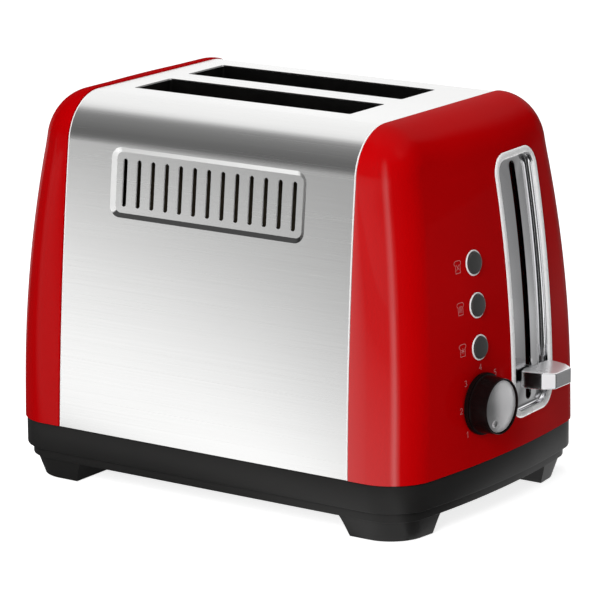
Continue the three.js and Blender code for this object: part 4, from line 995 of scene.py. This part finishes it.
def bezel_ring(inset, offset):
    return [(face_at(y, z) + offset, y, z) for y, z in bezel_outline(inset)]


def bezel_spine(inset, offset):
    """A ring drawn together to the middle line of the bezel."""
    half = BEZEL_WIDTH / 2
    heights = [min(max(z, BEZEL_BOTTOM + half), BEZEL_TOP - half)
               for _, z in bezel_outline(inset)]
    return [(face_at(LEVER_Y, height) + offset, LEVER_Y, height) for height in heights]


tub_rings = [bezel_spine(TUB_INSET, TUB_BACK)] + [bezel_ring(*level) for level in tub_levels]
tub_rings.append(bezel_spine(TUB_MIDDLE_INSET, TUB_FLOOR))
bezel = piece("lever_bezel_frame", *skinned(tub_rings, False), chrome, "chrome")
lever_slot = rounded(span(ARM_Y, LEVER_SLOT_WIDTH),
                     (BEZEL_BOTTOM + LEVER_SLOT_MARGIN, BEZEL_TOP - LEVER_SLOT_MARGIN),
                     LEVER_SLOT_WIDTH * ROUND_END)
carved(bezel, [end_cutter(lever_slot)])
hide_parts("lever_bezel")

# The rim is painted pale and matt, a painted highlight in place of the chrome's reflection,
# and only where it faces down does it mirror as the chrome does.
RIM_FACES_DOWN = (0.1, 0.4)
rim_painted_highlight = Finish("rim_painted_highlight", {"Metallic": 0.05})
rim_cloud = rim_painted_highlight.noise((90, 90, 90), 3)
rim_painted_highlight.tinted(rim_cloud, grey(0.93), grey(0.97))
rim_painted_highlight.roughened(0.22 + 0.12 * rim_cloud)
rim_underside = rim_painted_highlight.eased(-1 * rim_painted_highlight.facing("Z"), *RIM_FACES_DOWN)
rim_painted_highlight.dress("Metallic", 0.05 + 0.85 * rim_underside)
piece("lever_bezel_rim", *skinned([bezel_ring(*level) for level in rim_levels], False),
      rim_painted_highlight, "chrome")

# Lever handle: a chromed block that widens from a neck at the slot and is cut back by two
# slanted faces in front. It sits on the end of the arm that comes out of the slot.
LEVER_REST = 67.9
KNOB_BACK = 128.4
# Distance from the back, half width and half height of the handle's four outlines.
KNOB_STATIONS = [(0, 6.5, 3.7), (3.3, 14.4, 4.5), (14.5, 11.5, 4.5), (20.3, 7.6, 4.1)]
KNOB_ROUND = 0.6
KNOB_EDGES_FROM = 8
KNOB_STAYS_SHARP = 6

# The slant on the toaster's broad front side is painted pale and matt as a highlight, the top
# and the front face of the handle get less of this painted highlight, and the rest mirrors.
SLANT = (0.56, -0.83, 0)
FACES_SLANT = (0.96, 0.985)
FACES_TOP = (0.7, 0.9)
FACES_FRONT = (0.93, 0.98)
knob_chrome = Finish("knob_chrome", {"Metallic": 1})
handling = knob_chrome.noise((70, 70, 70), 4, 0.6)
knob_chrome.tinted(handling, (0.85, 0.85, 0.86, 1), (0.93, 0.93, 0.95, 1))
towards_slant = knob_chrome.node("VectorMath", {0: knob_chrome.normal(), 1: SLANT},
                                 {"operation": "DOT_PRODUCT"}, "Value")
# Painted highlight: faces that look along the slant, up or out of the end turn pale and matt.
knob_painted_highlight = (0.92 * knob_chrome.eased(towards_slant, *FACES_SLANT)
              + 0.45 * knob_chrome.eased(knob_chrome.facing("Z"), *FACES_TOP)
              + 0.13 * knob_chrome.eased(knob_chrome.facing("X"), *FACES_FRONT))
knob_chrome.dress("Metallic", 1 - knob_painted_highlight)
knob_chrome.roughened(0.1 + 0.06 * handling + 0.3 * knob_painted_highlight)

knob_rings = [[(KNOB_BACK + reach, ARM_Y + side * half, LEVER_REST + up * rise)
               for side, up in ((-1, -1), (1, -1), (1, 1), (-1, 1))]
              for reach, half, rise in KNOB_STATIONS]
knob = piece("lever_handle", *skinned(knob_rings), knob_chrome, "chrome", "carriage")
rounding = knob.modifiers.new("rounding", "BEVEL")
rounding.width = KNOB_ROUND * METRES
rounding.segments = 4
rounding.limit_method = "ANGLE"
rounding.angle_limit = radians(KNOB_EDGES_FROM)
settled(knob)
shaded(knob, KNOB_STAYS_SHARP)
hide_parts("lever_knob")

# Browning dial: a glossy black knob on a shaft, stepped at its foot, with a spun metal cap
# let into its front. The cap has one small dimple for the mark.
DIAL_SIDES = 96
CAP_SIDES = 180
CAP_RADIUS = 13.4
CAP_FLAT_RADIUS = 13.05
CAP_BOTTOM = 11.3
CAP_TOP = 12.1
CAP_TOP_FROM = CAP_TOP - 0.001
CAP_STEPS = 60
CAP_DOME = 1.3
CAP_LEAN = 0.0245
CAP_EDGE = (12.95, 13.2)
SPUN_FINENESS = 9000
DIMPLE = (-6.4, -7.5)
DIMPLE_RADIUS = 1.9
DIMPLE_DEPTH = 0.5
dial_frame = face_frame(CONTROL_Y, DIAL_HEIGHT_Z)

black_gloss = Finish("black_gloss", {"Specular IOR Level": 0.05})
gloss_cloud = black_gloss.noise((300, 300, 300), 3)
black_gloss.tinted(gloss_cloud, (0.004, 0.002, 0.002, 1), (0.008, 0.004, 0.004, 1))
black_gloss.roughened(0.2 + 0.08 * gloss_cloud)

dial_profile = [(0.01, 0.6), (15.6, 0.6), (15.9, 0.7), (16, 1), (16, 2.6), (15.9, 2.9),
                (15.6, 3), (15.1, 3.1), (14.9, 3.5), (14.8, 4.4), (14.25, 12.5),
                (14.15, 12.95), (13.95, 13.2), (13.75, 13.15), (13.7, 12.9), (13.7, 11),
                (0.01, 11)]
dial = piece("dial_knob", *skinned(turned_rings(dial_profile, DIAL_SIDES)),
             black_gloss, "black_gloss", "dial", dial_frame)
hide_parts("browning_dial")

# The cap is spun in fine circles. Its edge is painted pale and matt as a highlight, and its
# dome goes from mirroring where it leans to the toaster's front to a pale, matt painted
# highlight where it leans to the rear.
CAP_FACES_REAR = (-0.26, 0.02)
spun = Finish("spun_metal", {"Metallic": 1, "Anisotropic": 0.3, "Anisotropic Rotation": 0.25})
across_cap, up_cap = [spun.axis(spun.spot(), name) for name in "XY"]
cap_reach = (across_cap * across_cap + up_cap * up_cap) ** 0.5
spun_rings = spun.node("TexNoise", {"W": cap_reach * SPUN_FINENESS, "Scale": 1, "Detail": 2},
                       {"noise_dimensions": "1D"})
spun.tinted(spun_rings, (0.86, 0.86, 0.87, 1), (0.97, 0.97, 0.98, 1))
spun.roughened(0.24 + 0.12 * spun_rings)
cap_edge = spun.eased(cap_reach, *[reach * METRES for reach in CAP_EDGE])
# Painted highlight: the edge and the dome where it leans to the rear turn pale and matt.
cap_painted_highlight = spun.node("Math", {0: 0.7 * spun.eased(spun.facing("Y"), *CAP_FACES_REAR),
                               1: 0.9 * cap_edge}, {"operation": "MAXIMUM"})
spun.dress("Metallic", 1 - cap_painted_highlight)

cap_profile = [(0.02, CAP_BOTTOM), (CAP_RADIUS, CAP_BOTTOM), (CAP_RADIUS, 11.75), (13.3, 11.98)]
cap_profile += [(CAP_FLAT_RADIUS * (1 - i / CAP_STEPS), CAP_TOP) for i in range(CAP_STEPS)]


def dimpled(x, y, z):
    """The cap's top swells to a low dome that has a dimple for the mark."""
    if z < CAP_TOP_FROM:
        return x, y, z
    reach = hypot(x - DIMPLE[0], y - DIMPLE[1]) / DIMPLE_RADIUS
    dome = CAP_DOME * (1 - (x * x + y * y) / CAP_RADIUS ** 2)
    return x, y, z + dome - DIMPLE_DEPTH * max(0, 1 - reach * reach)


def spun_normal(place):
    """The spun skin leans outward a little more than its dome does."""
    if place.z < CAP_TOP_FROM:
        return None
    return Vector((CAP_LEAN * place.x, CAP_LEAN * place.y, 1)).normalized()


cap_points, cap_faces = skinned(turned_rings(cap_profile, CAP_SIDES))
cap = piece("dial_spun_cap", [dimpled(*point) for point in cap_points], cap_faces,
            spun, "spun_metal", "dial", dial_frame)
trued(cap, spun_normal)
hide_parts("dial_cap")

# Push buttons: dark satin caps that look out of thin chromed rings, from defrost at the
# bottom over reheat to cancel at the top.
BUTTON_SIDES = 64
dark_cap = Finish("dark_cap", {"Roughness": 0.4})
cap_grain = dark_cap.noise((1800, 1800, 1800), 3)
dark_cap.tinted(cap_grain, grey(0.03), grey(0.05))
dark_cap.roughened(0.3 + 0.15 * cap_grain)
dark_cap.bumped(cap_grain, 0.00002, 0.4)

# The rings are so narrow that their chrome shows as one pale tone, here a painted highlight
# in a pale gloss.
pale_ring = Finish("pale_ring", {"Specular IOR Level": 0.6})
ring_cloud = pale_ring.noise((500, 500, 500), 2)
pale_ring.tinted(ring_cloud, grey(0.84), grey(0.92))
pale_ring.roughened(0.2 + 0.15 * ring_cloud)

ring_profile = [(5.8, -3.6), (6.2, -3.6), (6.2, 0.3), (6.6, 0.3), (6.6, 0.42), (6.52, 0.56),
                (6.4, 0.66), (6.2, 0.7), (6.0, 0.7), (5.86, 0.64), (5.8, 0.55), (5.8, -3.6)]
button_profile = [(0.01, -9), (2.2, -9), (2.2, -4), (5.5, -4), (5.5, 1.3), (5.44, 1.55),
                  (5.28, 1.68), (5.0, 1.72), (4.0, 1.79), (2.6, 1.86), (1.2, 1.895), (0.01, 1.9)]
for button, height in BUTTON_HEIGHTS.items():
    seat = face_frame(CONTROL_Y, height)
    ring = piece(f"ring_{button}_turned",
                 *skinned(turned_rings(ring_profile, BUTTON_SIDES), False),
                 pale_ring, "chrome", "housing", seat)
    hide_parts(f"button_ring_{button}")
    push = piece(f"push_{button}_cap", *skinned(turned_rings(button_profile, BUTTON_SIDES)),
                 dark_cap, "dark_cap", f"push_{button}", seat)
    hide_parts(f"button_{button}")

# Printed marks: the browning numbers round the dial, and a pictogram beside each button, a
# slice of bread with a cross, with lines, or with a snowflake. They are thin strokes of pale
# ink that lie on the red.
INK_LIFT = 0.03
STROKE_OVERLAP = 0.6
NUMERAL_STROKE = 0.3
PICTOGRAM_STROKE = 0.26
SNOW_ARM = 1.4
SNOW_DROP = 0.2
pale_ink = Finish("pale_ink", {"Roughness": 0.5})
ink_cover = pale_ink.noise((2500, 2500, 2500), 2)
pale_ink.tinted(ink_cover, (0.55, 0.16, 0.16, 1), (0.68, 0.34, 0.34, 1))
pale_ink.roughened(0.4 + 0.2 * ink_cover)


def printed(name, middle, strokes, width):
    """Strokes in millimetres from a middle on the end face, as flat ribbons."""
    points, faces = [], []
    for stroke in strokes:
        for (u0, v0), (u1, v1) in zip(stroke, stroke[1:]):
            length = hypot(u1 - u0, v1 - v0)
            along = ((u1 - u0) / length * width / 2, (v1 - v0) / length * width / 2)
            side = (-along[1], along[0])
            first = len(points)
            for u, v, end in ((u0, v0, -1), (u1, v1, 1)):
                for way in (-1, 1):
                    y = middle[0] + u + end * along[0] * STROKE_OVERLAP + way * side[0]
                    z = middle[1] + v + end * along[1] * STROKE_OVERLAP + way * side[1]
                    points.append((face_at(y, z) + INK_LIFT, y, z))
            faces.append((first, first + 2, first + 3, first + 1))
    piece(name, points, faces, pale_ink, "red_gloss", smooth=False)


numerals = {
    1: ((-36.6, 50.0), [[(-0.5, 0.9), (0.3, 1.5), (0.3, -1.5)]]),
    2: ((-41.7, 63.3), [[(-0.9, 0.8), (-0.5, 1.4), (0.5, 1.4), (0.9, 0.8), (0.8, 0.2),
                         (-0.9, -1.5), (1.0, -1.5)]]),
    3: ((-37.5, 76.7), [[(-0.9, 1.2), (-0.2, 1.5), (0.7, 1.2), (0.8, 0.5), (0, 0.05),
                         (0.9, -0.5), (0.8, -1.2), (0, -1.5), (-0.9, -1.2)]]),
    4: ((-24.7, 82.7), [[(0.4, -1.5), (0.4, 1.5), (-1.0, -0.6), (1.0, -0.6)]]),
    5: ((-11.8, 77.2), [[(0.9, 1.5), (-0.7, 1.5), (-0.8, 0.2), (0.3, 0.4), (0.9, -0.3),
                         (0.7, -1.2), (0, -1.5), (-0.9, -1.2)]]),
}
for number, (middle, strokes) in numerals.items():
    printed(f"numeral_{number}", middle, strokes, NUMERAL_STROKE)

slice_of_bread = [(-1.9, -3.0), (1.9, -3.0), (1.9, 0.9), (2.6, 1.4), (2.8, 2.2), (2.3, 2.9),
                  (1.2, 3.2), (-1.2, 3.2), (-2.3, 2.9), (-2.8, 2.2), (-2.6, 1.4), (-1.9, 0.9),
                  (-1.9, -3.0)]
snow_arms = []
for angle in (30, 90, 150):
    across, up = [SNOW_ARM * part(radians(angle)) for part in (cos, sin)]
    snow_arms.append([(across, up - SNOW_DROP), (-across, -up - SNOW_DROP)])
pictograms = {
    "cancel": ((-38.0, 136.2), [[(-1.1, -1.5), (1.1, 1.1)], [(1.1, -1.5), (-1.1, 1.1)]]),
    "reheat": ((-38.7, 115.1), [[(x, -1.8), (x - 0.3, -0.6), (x + 0.3, 0.4), (x, 1.5)]
                                for x in (-0.9, 0, 0.9)]),
    "defrost": ((-39.0, 94.0), snow_arms),
}
for button, (middle, sign) in pictograms.items():
    printed(f"pictogram_{button}", middle, [slice_of_bread] + sign, PICTOGRAM_STROKE)

# Studio: a white floor and a white surrounding, under a soft lamp in front and one above.
# What metal and lacquer mirror of them differs by bearing: a strip of light near the camera,
# dark to the right with a dim part in it, light behind right, and dark at the far left.

# Bearings are in radians to the right of straight ahead of the broad front side. Four of
# them say where a zone starts, is full, starts to end and has ended.
STRIP_OF_LIGHT = (0.40, 0.62, 0.62, 0.76)
DARK_RIGHT = (0.74, 0.86, 2.68, 2.9)
DARK_FAR_LEFT = (-1.9, -1.75, -1.35, -1.1)
DIM_PART = (1.85, 2.2)
BEHIND_RIGHT = (2.62, 2.9)
DIM_LEVEL = 0.1
FAR_LEFT_SHADE = 0.93

# Bearings on the floor are taken from the toaster's front corner at the controls. From the
# front edge's bearing on, the mirrored light falls off with the distance in metres.
CORNER = (0.11, -0.07)
FRONT_EDGE = -0.816
FRONT_SPREAD = 0.31
NEAR_LIGHT = 1.34
NEAR_LEVELS = (0.26, 2.0)
FALL_RATE = 1.95 * 2.8
FALL_REACH = 0.7
DIM_RISES = (0.5, 1.1)
DIM_GAIN = 2
BEHIND_RISES = (0.35, 0.7)
BEHIND_LEVEL = 2.2
FLOOR_STRIP_LEVEL = 1.7
FLOOR_LEAST_LEVEL = 0.05
FLOOR_WHITE = 0.8
FLOOR_HALF = 6


def rays(nodes):
    """Whether a ray sees the studio straight or through glass, and whether mirrored."""
    camera, through, mirrored = [nodes.node("LightPath", output=f"Is {kind} Ray")
                                 for kind in ("Camera", "Transmission", "Glossy")]
    return camera + through, mirrored


def neutral(nodes, level):
    return nodes.node("CombineXYZ", {i: level for i in range(3)})


def bearing(nodes, rightward, forward):
    """The angle of a direction from straight ahead of the broad side, to the right."""
    return nodes.node("Math", {0: rightward, 1: forward}, {"operation": "ARCTAN2"})


def zone(nodes, turn, start, full, last, end):
    return nodes.eased(turn, start, full) * (1 - nodes.eased(turn, last, end))


def by_bearing(nodes, turn):
    """The strip of light, how much light the dark zones let through, and the dim part."""
    strip, dark, far_left = [zone(nodes, turn, *where)
                             for where in (STRIP_OF_LIGHT, DARK_RIGHT, DARK_FAR_LEFT)]
    dim = DIM_LEVEL * dark * nodes.eased(turn, *DIM_PART)
    return strip, (1 - dark) * (1 - FAR_LEFT_SHADE * far_left), dim


ground = Finish("floor_white", {"Roughness": 1, "Specular IOR Level": 0, "Emission Strength": 1})
floor_seen, floor_mirrored = rays(ground)
along, ahead = ground.axis(ground.spot(), "X"), -1 * ground.axis(ground.spot(), "Y")
floor_bearing = bearing(ground, along - CORNER[0], ahead + CORNER[1])
distance = ground.node("VectorMath", {0: ground.spot()}, {"operation": "LENGTH"}, "Value")
past_front = ground.node("Clamp", {0: floor_bearing - FRONT_EDGE, 1: 0.0, 2: FRONT_SPREAD})
near_fall = FALL_RATE * distance / (distance + FALL_REACH) * past_front
near_light = ground.node("Clamp", {0: NEAR_LIGHT - near_fall, 1: NEAR_LEVELS[0],
                                   2: NEAR_LEVELS[1]})
floor_strip, floor_light, floor_dim = by_bearing(ground, floor_bearing)
floor_light = floor_light + BEHIND_LEVEL * (ground.eased(floor_bearing, *BEHIND_RIGHT)
                                            * ground.eased(distance, *BEHIND_RISES))
floor_level = ((near_light + FLOOR_STRIP_LEVEL * floor_strip) * floor_light
               + floor_dim * (1 + DIM_GAIN * ground.eased(distance, *DIM_RISES))
               + FLOOR_LEAST_LEVEL)
ground.dress("Base Color", neutral(ground, FLOOR_WHITE * (1 - floor_mirrored)))
ground.dress("Emission Color",
             neutral(ground, floor_mirrored * floor_level + FLOOR_WHITE * floor_seen))
floor = drawn("floor", [(-FLOOR_HALF, -FLOOR_HALF, 0), (FLOOR_HALF, -FLOOR_HALF, 0),
                        (FLOOR_HALF, FLOOR_HALF, 0), (-FLOOR_HALF, FLOOR_HALF, 0)],
              [(0, 1, 2, 3)])
floor.data.materials.append(ground.material)

# The surrounding's mirrored levels go with the height in the sky, lowest a little above the
# horizon. Behind the toaster they are even, and the zones are only low down.
SKY_LEVELS = [(0, 0.4), (0.07, 0.34), (0.15, 0.1), (0.42, 0.13), (0.64, 0.19), (0.79, 0.26),
              (0.84, 0.35), (1, 0.8)]
BEHIND_STARTS = (-0.26, 0.0)
BEHIND_SKY_LEVEL = 1.12
ZONES_END = (0.55, 0.8)
SKY_STRIP_LEVEL = 1.3
SKY_LEAST_LEVEL = 0.04
SKY_FILL = 0.17
world = bpy.data.worlds.new("white_surrounding")
world.use_nodes = True
bpy.context.scene.world = world
around = Nodes(world.node_tree)
sky_seen, sky_mirrored = rays(around)
heading = around.node("TexCoord", output="Generated")
rightward, backward, skyward = [around.axis(heading, name) for name in "XYZ"]
front_sky = around.node("ValToRGB", {0: skyward},
                        {"stops": [(place, grey(level)) for place, level in SKY_LEVELS]})
behind = around.eased(backward, *BEHIND_STARTS)
low = 1 - around.eased(skyward, *ZONES_END)
sky_strip, sky_light, sky_dim = by_bearing(around, bearing(around, rightward, -1 * backward))
sky_level = ((front_sky * (1 - behind) + BEHIND_SKY_LEVEL * behind) * (1 - low * (1 - sky_light))
             + (SKY_STRIP_LEVEL * sky_strip + sky_dim) * low + SKY_LEAST_LEVEL)
surrounding = (sky_seen + sky_mirrored * sky_level
               + SKY_FILL * (1 - sky_seen - sky_mirrored))
around.feed(around.tree.nodes["Background"].inputs["Color"], neutral(around, surrounding))

# The camera stands at the right front corner, as in the photograph.
CAMERA_PLACE = Vector((1.073729, -1.547028, 0.559425))
CAMERA_AZIMUTH = radians(34.918)
CAMERA_ELEVATION = radians(13.824)
CAMERA_ROLL = radians(-0.454)
CAMERA_LENS = 220.8
camera = bpy.data.objects.new("camera", bpy.data.cameras.new("camera"))
camera_back = Vector((sin(CAMERA_AZIMUTH) * cos(CAMERA_ELEVATION),
                      -cos(CAMERA_AZIMUTH) * cos(CAMERA_ELEVATION),
                      sin(CAMERA_ELEVATION)))
sideways = Vector((0, 0, 1)).cross(camera_back).normalized()
upright = camera_back.cross(sideways)
camera_right = sideways * cos(CAMERA_ROLL) + upright * sin(CAMERA_ROLL)
camera_up = upright * cos(CAMERA_ROLL) - sideways * sin(CAMERA_ROLL)
camera_turn = Matrix((camera_right, camera_up, camera_back)).transposed()
camera.matrix_world = Matrix.Translation(CAMERA_PLACE) @ camera_turn.to_4x4()
camera.data.lens = CAMERA_LENS
camera.data.sensor_width = 36
camera.data.clip_end = 50
bpy.context.scene.collection.objects.link(camera)
bpy.context.scene.camera = camera
bpy.context.scene.view_settings.view_transform = "Standard"


def lamp(name, place, aim, size, power):
    """A soft rectangular lamp in metres and watts, which nothing mirrors."""
    light = bpy.data.lights.new(name, "AREA")
    light.shape = "RECTANGLE"
    light.size, light.size_y = size
    light.energy = power
    made = bpy.data.objects.new(name, light)
    bpy.context.scene.collection.objects.link(made)
    made.location = place
    made.rotation_euler = (Vector(place) - Vector(aim)).to_track_quat("Z", "Y").to_euler()
    made.visible_glossy = False


LAMP_AIM = (0, 0, 0.1)
lamp("front_lamp", (0.55, -1.78, 0.95), LAMP_AIM, (0.8, 0.8), 28)
lamp("top_lamp", (-0.3, -0.2, 2.0), LAMP_AIM, (1.4, 1.1), 18)
